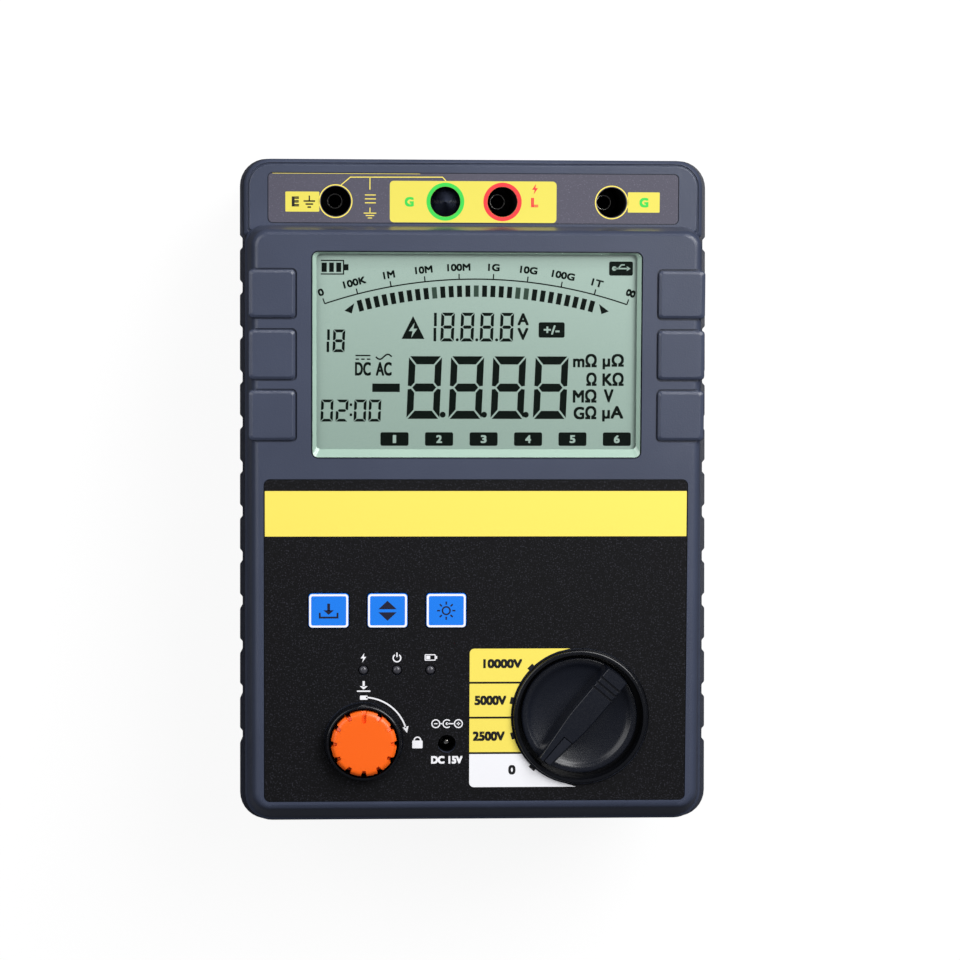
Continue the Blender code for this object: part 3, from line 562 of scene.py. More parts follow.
def raw_object(name: str, parts: Sequence[Part]) -> Object:
    """Object of closed parts, its faces turned outwards and coinciding corners merged."""
    points, faces = merged(parts)
    mesh = bpy.data.meshes.new(name)
    mesh.from_pydata(points * MM, [], faces)
    bm = bmesh.new()
    bm.from_mesh(mesh)
    bmesh.ops.remove_doubles(bm, verts=bm.verts, dist=1e-7)
    bmesh.ops.dissolve_degenerate(bm, dist=1e-8, edges=bm.edges)
    bmesh.ops.recalc_face_normals(bm, faces=bm.faces)
    bm.to_mesh(mesh)
    bm.free()
    obj = bpy.data.objects.new(name, mesh)
    bpy.context.scene.collection.objects.link(obj)
    return obj


def settle(obj: Object) -> None:
    """Makes the result of the object's modifiers its mesh."""
    graph = bpy.context.evaluated_depsgraph_get()
    mesh = bpy.data.meshes.new_from_object(obj.evaluated_get(graph))
    old = obj.data
    obj.modifiers.clear()
    obj.data = mesh
    bpy.data.meshes.remove(old)
    if not mesh.polygons:
        raise ValueError(f"{obj.name} has no faces left")


def combine(obj: Object, operation: str, tool: Object) -> None:
    """Joins a tool to the object, or cuts it out, and removes the tool.

    Args:
        obj: object that changes.
        operation: UNION or DIFFERENCE.
        tool: closed object.
    """
    modifier = obj.modifiers.new("shape", "BOOLEAN")
    modifier.operation, modifier.object, modifier.solver = operation, tool, "EXACT"
    settle(obj)
    mesh = tool.data
    bpy.data.objects.remove(tool)
    bpy.data.meshes.remove(mesh)


def carve(obj: Object, operation: str, parts: Sequence[Part]) -> None:
    """Joins closed parts to the object, or cuts them out; the parts don't cross each other."""
    combine(obj, operation, raw_object("tool", parts))


def dress(
    obj: Object, finish: Finish, body: str, stands_for: Sequence[str] = (), angle: float = 32.0
) -> Object:
    """Finishes a piece: smooth faces, sharp creases, its material, its body and the CAD nodes it stands for.

    Args:
        obj: the piece.
        finish: its finish.
        body: the CAD body it moves with.
        stands_for: CAD nodes it replaces.
        angle: degrees past which an edge stays sharp.

    Returns:
        The piece.
    """
    obj.data.materials.clear()
    obj.data.materials.append(finish.material())
    obj.data.shade_smooth()
    obj.data.set_sharp_from_angle(angle=math.radians(angle))
    even = obj.modifiers.new("even", "WEIGHTED_NORMAL")
    even.keep_sharp = True
    settle(obj)
    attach(obj, body)
    if stands_for:
        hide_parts(*stands_for)
    LOG.info("%s: %d faces, %s", obj.name, len(obj.data.polygons), finish.name)
    return obj


def piece(
    name: str,
    parts: Sequence[Part],
    finish: Finish,
    body: str = "case",
    stands_for: Sequence[str] = (),
    angle: float = 32.0,
) -> Object:
    """A finished piece made of closed parts; the arguments are those of raw_object and dress."""
    return dress(raw_object(name, parts), finish, body, stands_for, angle)


def parting(y: float | np.ndarray, lift: float = 0.0) -> float | np.ndarray:
    """Height of the parting plane at y."""
    return PARTING_Z - PARTING_FALL * y + lift


def column_joint(y: float) -> float:
    """Height at which the rear shell's screw column ends."""
    return parting(y, -5.0 if y > 0.0 else -2.0)


def control_openings(low: float, high: float) -> list[Part]:
    """Cutters for the keys, the lamps and the inlet, through the face and its film alike."""
    parts = [slab(rounded(about((x, KEY_Y), *KEY_HOLE), 1.5), low, high) for x in KEY_X.values()]
    parts += [slab(circle((x, LED_Y), LAMP_HOLE_R, 32), low, high) for x in LED_X.values()]
    return [*parts, slab(circle(JACK, INLET_R, 48), low, high)]


def socket_openings(names: Iterable[str] = tuple(SOCKET_X)) -> list[Part]:
    """Cutters for the terminal wells, through the deck and its film alike."""
    return [slab(circle((SOCKET_X[name], SOCKET_Y), SOCKET_R, 64), 50.0, DECK_Z + 1.0) for name in names]


# Sub-assemblies


@dataclass
class FrontShell:
    """Face block with the deck, the grip pads and the two raised rings."""

    rim: float = 75.9
    pad_rows: tuple[tuple[float, float], ...] = ((57.7, 73.4), (37.7, 53.9), (17.8, 34.2))
    pad_inner: float = 59.1
    pad_outer: float = 74.6
    pad_rise: float = 0.9

    def block(self, stations: Sequence[Sequence[float]], radius: float, steps: int = 10) -> Part:
        """Loft of rounded rectangles: each station's numbers blend into the next through softened corners.

        Args:
            stations: half width, y low, y high, lower radius, upper radius, height at y = 0, slope.
            radius: how far each corner of the side profile is rounded.
            steps: chords in each plan corner.

        Returns:
            Corners and faces.
        """
        return skin(
            [
                at(rounded((-half, half, y_low, y_high), low_r, high_r, steps), height, slope)
                for half, y_low, y_high, low_r, high_r, height, slope in soften(stations, radius, 4)
            ]
        )

    def bezel(self) -> Part:
        """Raised block: a plain rim over the parting plane, a long slope and a rounded shoulder."""
        fall = -PARTING_FALL
        return self.block(
            (
                (self.rim - 0.3, 0.3 - HALF_LENGTH, DECK_EDGE_Y, 8.7, 6.0, PARTING_Z + 0.15, fall),
                (self.rim, -HALF_LENGTH, DECK_EDGE_Y, 9.0, 6.0, PARTING_Z + 0.45, fall),
                (self.rim, -HALF_LENGTH, DECK_EDGE_Y, 9.0, 6.0, PARTING_Z + 2.4, fall),
                (75.2, -108.4, 87.4, 8.6, 6.0, PARTING_Z + 3.0, fall),
                (73.5, -104.6, 86.4, 6.0, 5.4, FACE_Z - 2.2, 0.0),
                (72.5, -103.7, 85.7, 5.2, 4.9, FACE_Z - 0.75, 0.0),
                (70.8, -102.3, 84.7, 4.0, 4.0, FACE_Z, 0.0),
            ),
            0.9,
        )

    def room(self) -> Part:
        """Hollow under the face."""
        return self.block(
            (
                (73.9, -106.8, 85.0, 6.8, 3.5, PARTING_Z - 4.0, -PARTING_FALL),
                (70.2, -100.6, 83.4, 3.5, 3.0, CEILING_Z, 0.0),
            ),
            0.0,
        )

    def deck(self) -> Part:
        """Terminal deck: a plate with a rounded upper edge and a shallow step round it."""
        fall = -PARTING_FALL
        rings = []
        for inset, height, slope in soften(
            (
                (0.0, PARTING_Z + 0.45, fall),
                (0.0, DECK_Z - 1.5, 0.0),
                (0.35, DECK_Z - 1.0, 0.0),
                (1.15, DECK_Z - 0.35, 0.0),
                (1.35, DECK_Z - 0.85, 0.0),
                (1.6, DECK_Z - 0.85, 0.0),
                (1.85, DECK_Z - 0.1, 0.0),
                (2.2, DECK_Z, 0.0),
            ),
            (0, 0.3, 0.3, 0.12, 0.1, 0.1, 0.15, 0),
        ):
            area = (-76.3 + inset, 76.3 - inset, 84.0 + inset, HALF_LENGTH - inset)
            rings.append(at(rounded(area, 1.0, 8.9 - inset, 10), height, slope))
        return skin(rings)

    def pad_area(
        self, row: tuple[float, float], side: float, inner: float = 0.0, outer: float = 0.0, end: float = 0.0
    ) -> Area:
        """Plan of a pad, drawn in by its own amount at the inner side, the outer side and the ends."""
        x = sorted((side * (self.pad_inner + inner), side * (self.pad_outer - outer)))
        return x[0], x[1], row[0] + end, row[1] - end

    def pads(self) -> list[Part]:
        """Three pads on each side, crowned by a slope on every side."""
        parts = []
        for row in self.pad_rows:
            for side in (-1.0, 1.0):
                rings = []
                stations = (
                    (0.0, 0.0, 0.0, FACE_Z - 10.0, 1.3),
                    (0.0, 0.0, 0.0, FACE_Z - 1.0, 1.3),
                    (0.1, 0.3, 0.1, FACE_Z + 0.35, 1.3),
                    (1.0, 1.5, 1.0, FACE_Z + self.pad_rise, 0.9),
                    (1.3, 1.9, 1.3, FACE_Z + self.pad_rise, 0.8),
                )
                for inner, outer, end, height, radius in soften(stations, 0.35, 4):
                    area = self.pad_area(row, side, inner, outer, end)
                    rings.append(at(rounded(area, radius, steps=6), height))
                parts.append(skin(rings))
        return parts

    def pad_gaps(self) -> list[Part]:
        """Narrow channel round each pad."""
        parts = []
        for row in self.pad_rows:
            for side in (-1.0, 1.0):
                area = self.pad_area(row, side)
                outer = rounded(grown(area, 0.5), 1.7, steps=6)
                inner = rounded(grown(area, -0.04), 1.26, steps=6)
                parts.append(hoop(outer, inner, FACE_Z - 0.9, FACE_Z + 0.35))
        return parts

    def wells(self) -> list[Part]:
        """Raised rings for the knob and the button, still without their bores."""
        parts = []
        for centre, radius, lip, floor in ((KNOB, RING_R, 84.0, 76.0), (BUTTON, COLLAR_R, 87.0, 74.0)):
            profile = (
                (radius + 0.9, floor - 2.0),
                (radius + 0.9, FACE_Z - 1.5),
                (radius + 0.15, FACE_Z - 0.6),
                (radius, lip - 0.3),
                (radius - 0.35, lip),
                (radius - 0.7, lip),
            )
            parts.append(lathe(centre, soften(profile, (0, 0, 0, 0.25, 0.25, 0), 4), 128))
        return parts

    def columns(self, radius: float, foot: float, top: float) -> list[Part]:
        """Screw columns from the rear shell's up to the underside of the face or the deck."""
        parts = []
        for x, y in SCREW_POINTS:
            roof = CEILING_Z if y < DECK_EDGE_Y else parting(y, 0.45)
            parts.append(lathe((x, y), ((radius, column_joint(y) + foot), (radius, roof + top)), 24))
        return parts

    def bores(self) -> list[Part]:
        """Everything that is cut straight through the face and the deck."""
        low = CEILING_Z - 1.5
        parts = [slab(rounded(SCREEN, 2.0), low, FACE_Z - 1.0)]
        parts += control_openings(low, FACE_Z + 1.0) + socket_openings()
        parts.append(slab(circle(KNOB, 3.3, 32), 72.0, 76.5))
        parts.append(slab(circle(BUTTON, 4.2, 32), 70.0, 74.5))
        return parts + self.columns(1.8, -1.0, -1.0)

    def film_seat(self) -> Object:
        """Tool for the recess of the face film, with the two rings left standing."""
        tool = raw_object("film_seat", [slab(rounded(OVERLAY, 2.0), FACE_Z - 0.9, FACE_Z + 0.5)])
        rings = [
            slab(circle(centre, radius + 0.35, 128), FACE_Z - 3.0, FACE_Z + 2.0)
            for centre, radius in ((KNOB, RING_R), (BUTTON, COLLAR_R))
        ]
        carve(tool, "DIFFERENCE", rings)
        return tool

    def paint_ring_shade(self, shell: Object) -> None:
        """Paints shade on the two raised rings and the wells inside them: a near-black copy of the bezel
        plastic.

        Args:
            shell: the finished shell.
        """
        mesh = shell.data
        # painted shade: the rings and wells get a near-black copy of the bezel plastic
        mesh.materials.append(Finishes.RING_SHADE.material())
        middles = np.zeros(len(mesh.polygons) * 3)
        mesh.polygons.foreach_get("center", middles)
        middles = middles.reshape(-1, 3) / MM
        shaded = np.zeros(len(middles), bool)
        for centre, radius in ((KNOB, RING_R), (BUTTON, COLLAR_R)):
            near = np.hypot(*(middles[:, :2] - centre).T) < radius + 0.3
            shaded |= near & (middles[:, 2] > 73.0)
        mesh.polygons.foreach_set("material_index", shaded.astype(np.int32))

    def build(self) -> None:
        """Builds the shell in the order in which its shapes are joined and cut."""
        shell = raw_object("front_shell", [self.bezel()])
        carve(shell, "UNION", self.pads())
        carve(shell, "DIFFERENCE", self.pad_gaps())
        carve(shell, "DIFFERENCE", [self.room()])
        carve(shell, "UNION", [self.deck()])
        carve(shell, "UNION", self.wells() + self.columns(4.2, 0.3, 1.0))
        knob_well = slab(circle(KNOB, 20.8, 128), 76.0, 85.0)
        button_well = slab(circle(BUTTON, 11.5, 96), 74.0, 88.0)
        carve(shell, "DIFFERENCE", [knob_well, button_well])
        carve(shell, "DIFFERENCE", self.bores())
        pane_seat = slab(rounded(WINDOW, 2.3), FACE_Z - 2.1, FACE_Z + 1.0)
        label_seat = slab(rounded(LABEL, 1.7), DECK_Z - 0.9, DECK_Z + 1.0)
        carve(shell, "DIFFERENCE", [pane_seat, label_seat])
        combine(shell, "DIFFERENCE", self.film_seat())
        dress(shell, Finishes.BEZEL, "case", ["front_cover"], 28.0)
        self.paint_ring_shade(shell)


@dataclass
class RearShell:
    """Deep back shell with grip grooves down both sides."""

    levels: int = 36
    corner: float = 9.0
    groove_low: float = 20.0
    groove_high: float = 24.0
    groove_half: tuple[float, ...] = (0.9, 1.3, 1.6, 1.9, 2.2, 2.5, 2.8, 3.4)

    def outline(self, inset: float) -> np.ndarray:
        """Rounded rectangle with extra points down its two long sides, close together at the grooves."""
        corner = max(1.5, self.corner - inset)
        x, y = HALF_WIDTH - inset, HALF_LENGTH - inset
        plan = rounded((-x, x, -y, y), corner, steps=8)
        middles = (np.arange(GROOVE_COUNT) - (GROOVE_COUNT - 1) / 2.0) * GROOVE_PITCH
        half = np.array(self.groove_half)
        side = (middles[:, None] + np.concatenate([-half[::-1], [0.0], half])).ravel()
        left = np.column_stack([np.full(len(side), -x), side[::-1]])
        right = np.column_stack([np.full(len(side), x), side])
        middle = len(plan) // 2
        return np.vstack([plan[:middle], left, plan[middle:], right])

    def ring(self, inset: float, height: float, slope: float) -> np.ndarray:
        """One ring of the shell without its grooves."""
        return at(self.outline(inset), height, slope)

    def grooved(self, rings: np.ndarray) -> np.ndarray:
        """Pushes the long sides in: the depth is a smooth step across each groove times one up the wall.

        Args:
            rings: grid of rings.

        Returns:
            The grid with its grooves.
        """
        x, y, z = rings[..., 0], rings[..., 1], rings[..., 2]
        reach = (GROOVE_COUNT / 2.0) * GROOVE_PITCH
        across = np.abs((y + reach) % GROOVE_PITCH - GROOVE_PITCH / 2.0)
        share = np.clip((2.7 - across) / 1.35, 0.0, 1.0) * (np.abs(y) < reach)
        rise = np.clip((z - self.groove_low) / (self.groove_high - self.groove_low), 0.0, 1.0)
        step = share**2 * (3.0 - 2.0 * share) * rise**2 * (3.0 - 2.0 * rise)
        made = rings.copy()
        made[..., 0] = x - np.sign(x) * GROOVE_DEPTH * step * (np.abs(x) > HALF_WIDTH - 6.0)
        return made

    def wall(self) -> Part:
        """Outer wall, stepped rim and plain inner wall as one closed skin."""
        fall = -PARTING_FALL
        corners = ((6.9, BACK_Z), (6.3, BACK_Z + 0.05), (4.4, 3.2), (3.1, 6.0), (3.0, 7.5))
        foot = soften([(inset, height, 0.0) for inset, height in corners], 0.9)
        share = np.linspace(0.0, 1.0, self.levels)[1:, None]
        side = np.array([3.0, 7.5, 0.0]) * (1.0 - share) + np.array([0.0, PARTING_Z - 2.0, fall]) * share
        outside = np.vstack([foot, side, [(0.0, PARTING_Z - 0.6, fall), (0.2, PARTING_Z - 0.2, fall)]])
        outer = self.grooved(np.array([self.ring(*row) for row in outside]))
        inside = (
            (0.3, PARTING_Z - 0.15, fall),
            (2.1, PARTING_Z - 0.15, fall),
            (2.1, PARTING_Z - 2.2, fall),
            (3.3, PARTING_Z - 2.2, fall),
            (6.0, BACK_Z + 3.0, 0.0),
        )
        lip = self.ring(*inside[0])
        lip[:, 0] = np.sign(lip[:, 0]) * np.minimum(np.abs(lip[:, 0]), np.abs(outer[-1][:, 0]) - 0.05)
        return skin(np.concatenate([outer, [lip], [self.ring(*row) for row in inside[1:]]]))

    def build(self) -> None:
        """Builds the shell, then the door's surround, the bay, the columns and the seats."""
        shell = raw_object("rear_shell", [self.wall()])
        carve(shell, "UNION", [slab(rounded(grown(DOOR, 4.0), 3.0), BACK_Z + 1.5, 8.5)])
        columns = [lathe((x, y), ((5.4, BACK_Z + 1.6), (5.4, column_joint(y))), 32) for x, y in SCREW_POINTS]
        carve(shell, "UNION", [slab(rounded(grown(BAY, 2.0), 3.0), 6.0, 32.0), *columns])
        cuts = [slab(rounded(BAY, 2.0), BACK_Z + 1.0, 30.0)]
        for x, y in SCREW_POINTS:
            profile = ((3.9, -1.0), (3.9, 20.0), (1.9, 20.0), (1.9, parting(y, 3.0)))
            cuts.append(lathe((x, y), profile, 40))
        for centre in DOOR_SCREWS.values():
            cuts.append(lathe(centre, ((1.6, BACK_Z + 1.0), (1.6, 12.0)), 24))
        for centre in FOOT_POINTS:
            cuts.append(lathe(centre, ((5.8, -1.0), (5.8, 3.3)), 48))
        carve(shell, "DIFFERENCE", cuts)
        carve(shell, "DIFFERENCE", [slab(rounded(DOOR, 3.0), -1.0, 4.6)])
        dress(shell, Finishes.SHELL, "case", ["rear_case"], 30.0)


@dataclass
class Back:
    """Battery door, screws and feet."""

    rib_count: int = 9

    def door(self) -> None:
        """Door plate with a rounded edge, counterbored holes and a row of grip ribs."""
        rings = [
            at(rounded(grown(DOOR, -0.3 - inset), 2.7, steps=8), height)
            for inset, height in soften(((0.6, BACK_Z + 0.1), (0.0, BACK_Z + 0.6), (0.0, 4.3)), (0, 0.4, 0))
        ]
        door = raw_object("battery_hatch", [skin(rings)])
        hole = ((2.7, 0.0), (2.7, 3.4), (1.7, 3.4), (1.7, 6.0))
        cuts = [lathe(centre, hole, 40) for centre in DOOR_SCREWS.values()]
        for index in range(self.rib_count):
            y = -36.0 + 1.9 * index
            cuts.append(slab(rounded((-14.0, 14.0, y, y + 0.9), 0.44), BACK_Z - 0.5, BACK_Z + 0.7))
        carve(door, "DIFFERENCE", cuts)
        dress(door, Finishes.SHELL, "case", ["battery_door"])

    def screw(
        self,
        name: str,
        node: str,
        centre: Sequence[float],
        head: float,
        shank: float,
        heights: Sequence[float],
    ) -> None:
        """Pan-head screw with a cross recess, driven from behind.

        Args:
            name: the piece's name.
            node: the CAD node that it stands for.
            centre: its axis.
            head: radius of the head.
            shank: radius of the shank.
            heights: of the head's edge, its underside and the tip.
        """
        edge, neck, tip = heights
        profile = (
            (head * 0.3, edge - 0.75),
            (head - 0.5, edge - 0.6),
            (head, edge),
            (head, neck),
            (shank, neck),
            (shank, tip),
        )
        screw = raw_object(name, [lathe(centre, soften(profile, (0, 0.4, 0.2, 0, 0, 0)), 40)])
        arm, half = head * 0.55, 0.35
        cross = [(arm, -half), (arm, half), (half, half), (half, arm), (-half, arm), (-half, half)]
        cross += [(-arm, half), (-arm, -half), (-half, -half), (-half, -arm), (half, -arm), (half, -half)]
        carve(screw, "DIFFERENCE", [slab(np.array(cross) + centre, edge - 2.0, edge + 0.4)])
        dress(screw, Finishes.STEEL, "case", [node])

    def build(self) -> None:
        """Builds everything on the back."""
        self.door()
        for side, centre in DOOR_SCREWS.items():
            self.screw(f"hatch_screw_{side}", f"door_screw_{side}", centre, 2.4, 1.3, (2.6, 3.1, 10.0))
        for index, centre in enumerate(SCREW_POINTS, 1):
            top = (CEILING_Z if centre[1] < DECK_EDGE_Y else parting(centre[1], 0.45)) - 2.0
            self.screw(f"shell_screw_{index}", f"case_screw_{index}", centre, 3.4, 1.5, (17.6, 19.7, top))
        for index, centre in enumerate(FOOT_POINTS, 1):
            profile = soften(((3.9, 0.0), (4.9, 0.05), (5.5, 0.7), (5.5, 3.0)), (0, 0.4, 0.4, 0))
            part = lathe(centre, profile, 48)
            piece(f"round_foot_{index}", [part], Finishes.RUBBER, "case", [f"foot_{index}"])


@dataclass
class Terminals:
    """Four deep wells with their metal tubes."""

    shroud: float = 6.8
    base: float = 14.0
    tip: float = 28.1

    def build(self) -> None:
        """Builds each well with a thick rounded tube end, and its contact."""
        top = parting(SOCKET_Y + self.shroud) - 0.3
        well = (
            (2.9, self.base),
            (self.shroud, self.base),
            (self.shroud, top),
            (SOCKET_R, top),
            (SOCKET_R, self.base + 4.0),
            (2.9, self.base + 4.0),
        )
        tube = soften(
            (
                (2.6, 9.0),
                (2.6, self.tip - 0.3),
                (2.35, self.tip),
                (2.2, self.tip),
                (2.0, self.tip - 0.25),
                (2.0, 11.5),
            ),
            (0, 0.2, 0.15, 0.15, 0.15, 0),
        )
        rim = (
            (2.62, self.tip - 0.6),
            (2.62, self.tip - 0.05),
            (2.5, self.tip + 0.05),
            (2.3, self.tip + 0.05),
            (2.3, self.tip - 0.6),
        )
        for name, x in SOCKET_X.items():
            centre = (x, SOCKET_Y)
            shroud = [lathe(centre, well, 64, True)]
            piece(f"well_{name}", shroud, Finishes.NYLON, "case", [f"socket_{name}"])
            # painted shade: the tube is near-black for the dark bore of the well
            contact = [lathe(centre, tube, 48)]
            piece(f"tube_{name}", contact, Finishes.TUBE_SHADE, "case", [f"contact_{name}"])
            piece(f"tube_rim_{name}", [lathe(centre, rim, 48, True)], Finishes.NICKEL)


class Prints:
    """Layer of ink on one surface: plates of each ink are gathered, then made one piece."""

    half_coat = 0.02
    coat_step = 0.025

    def __init__(self, name: str, surface: float, slot: str, body: str = "case") -> None:
        """Starts an empty layer.

        Args:
            name: start of the pieces' names.
            surface: height of the film that is printed.
            slot: the record's material slot of that film; not used.
            body: the CAD body it moves with.
        """
        self.name, self.surface, self.slot, self.body = name, surface, slot, body
        self.parts: dict[Ink, list[Part]] = {}

    def span(self, coat: int) -> tuple[float, float]:
        """Underside and top of the ink; a later coat ends higher."""
        return self.surface - self.half_coat, self.surface + self.half_coat + self.coat_step * coat

    def plate(self, ink: Ink, outline: Sequence | np.ndarray, coat: int = 0) -> None:
        """Prints a filled outline."""
        self.parts.setdefault(ink, []).append(slab(np.asarray(outline, float), *self.span(coat)))

    def box(self, ink: Ink, area: Area, radius: float = 0.05, coat: int = 0) -> None:
        """Prints a rectangle with rounded corners."""
        self.plate(ink, rounded(area, radius, steps=4), coat)

    def line(self, ink: Ink, path: Sequence | np.ndarray, width: float, coat: int = 0) -> None:
        """Prints a line of a width."""
        self.parts.setdefault(ink, []).append(stroke(path, width, *self.span(coat)))

    def frame(self, ink: Ink, outer: np.ndarray, inner: np.ndarray, coat: int = 0) -> None:
        """Prints what lies between two outlines of equal count."""
        self.parts.setdefault(ink, []).append(hoop(outer, inner, *self.span(coat)))

    def ring(self, ink: Ink, centre: Sequence[float], radius: float, width: float, coat: int = 0) -> None:
        """Prints a ring; radius is that of its middle."""
        outer, inner = (circle(centre, radius + growth, 64) for growth in (width / 2.0, -width / 2.0))
        self.frame(ink, outer, inner, coat)

    def text(
        self, ink: Ink, text: str, area: Area, bold: float = 0.0, coat: int = 0, turn: float = 0.0
    ) -> None:
        """Prints numbers or symbols fitted to an area."""
        self.parts.setdefault(ink, []).append(words(text, area, *self.span(coat), bold, turn))

    def build(self) -> None:
        """Makes one piece of each ink."""
        for ink, parts in self.parts.items():
            piece(f"{self.name}_{ink.name.lower()}", parts, ink.finish(), self.body)


def bolt(centre: Sequence[float], height: float) -> np.ndarray:
    """Lightning bolt as an outline of a given height."""
    shape = np.array([(0.1, 0.5), (-0.28, -0.06), (-0.03, -0.06), (-0.12, -0.5), (0.28, 0.1), (0.03, 0.1)])
    return shape * height + np.asarray(centre, float)


@dataclass
class Digit:
    """Seven-segment digit: slanted uprights of one thickness and level bars of another."""

    width: float
    height: float
    bar: float
    upright: float
    gap: float
    slant: float = 0.04
    lit: dict[str, str] = field(default_factory=lambda: {"0": "abcdef", "2": "abdeg", "8": "abcdefg"})

    def segments(self, mark: str, x: float, y: float) -> list[np.ndarray]:
        """Outlines of the lit segments: mitred bars whose corners meet at half a gap from each other.

        Args:
            mark: the digit shown.
            x: its left edge.
            y: its foot.

        Returns:
            One outline for each segment.
        """
        w, h, b, u, g = self.width, self.height, self.bar, self.upright, self.gap
        middle = h / 2.0
        over, under = middle + b / 2.0, middle - b / 2.0
        shapes = {
            "a": [(g, h), (w - g, h), (w - u - g, h - b), (u + g, h - b)],
            "d": [(g, 0.0), (u + g, b), (w - u - g, b), (w - g, 0.0)],
            "g": [
                (u * 0.5 + g, middle),
                (u + g, over),
                (w - u - g, over),
                (w - u * 0.5 - g, middle),
                (w - u - g, under),
                (u + g, under),
            ],
            "f": [
                (0.0, h - g),
                (u, h - b - g),
                (u, over + g),
                (u * 0.5, middle + g),
                (0.0, middle + g * 1.5),
            ],
            "e": [(0.0, g), (0.0, middle - g * 1.5), (u * 0.5, middle - g), (u, under - g), (u, b + g)],
        }
        shapes["b"] = [(w - px, py) for px, py in shapes["f"]]
        shapes["c"] = [(w - px, py) for px, py in shapes["e"]]
        made = []
        for name in self.lit[mark]:
            flat = np.array(shapes[name])
            flat[:, 0] += self.slant * flat[:, 1]
            made.append(flat + (x, y))
        return made


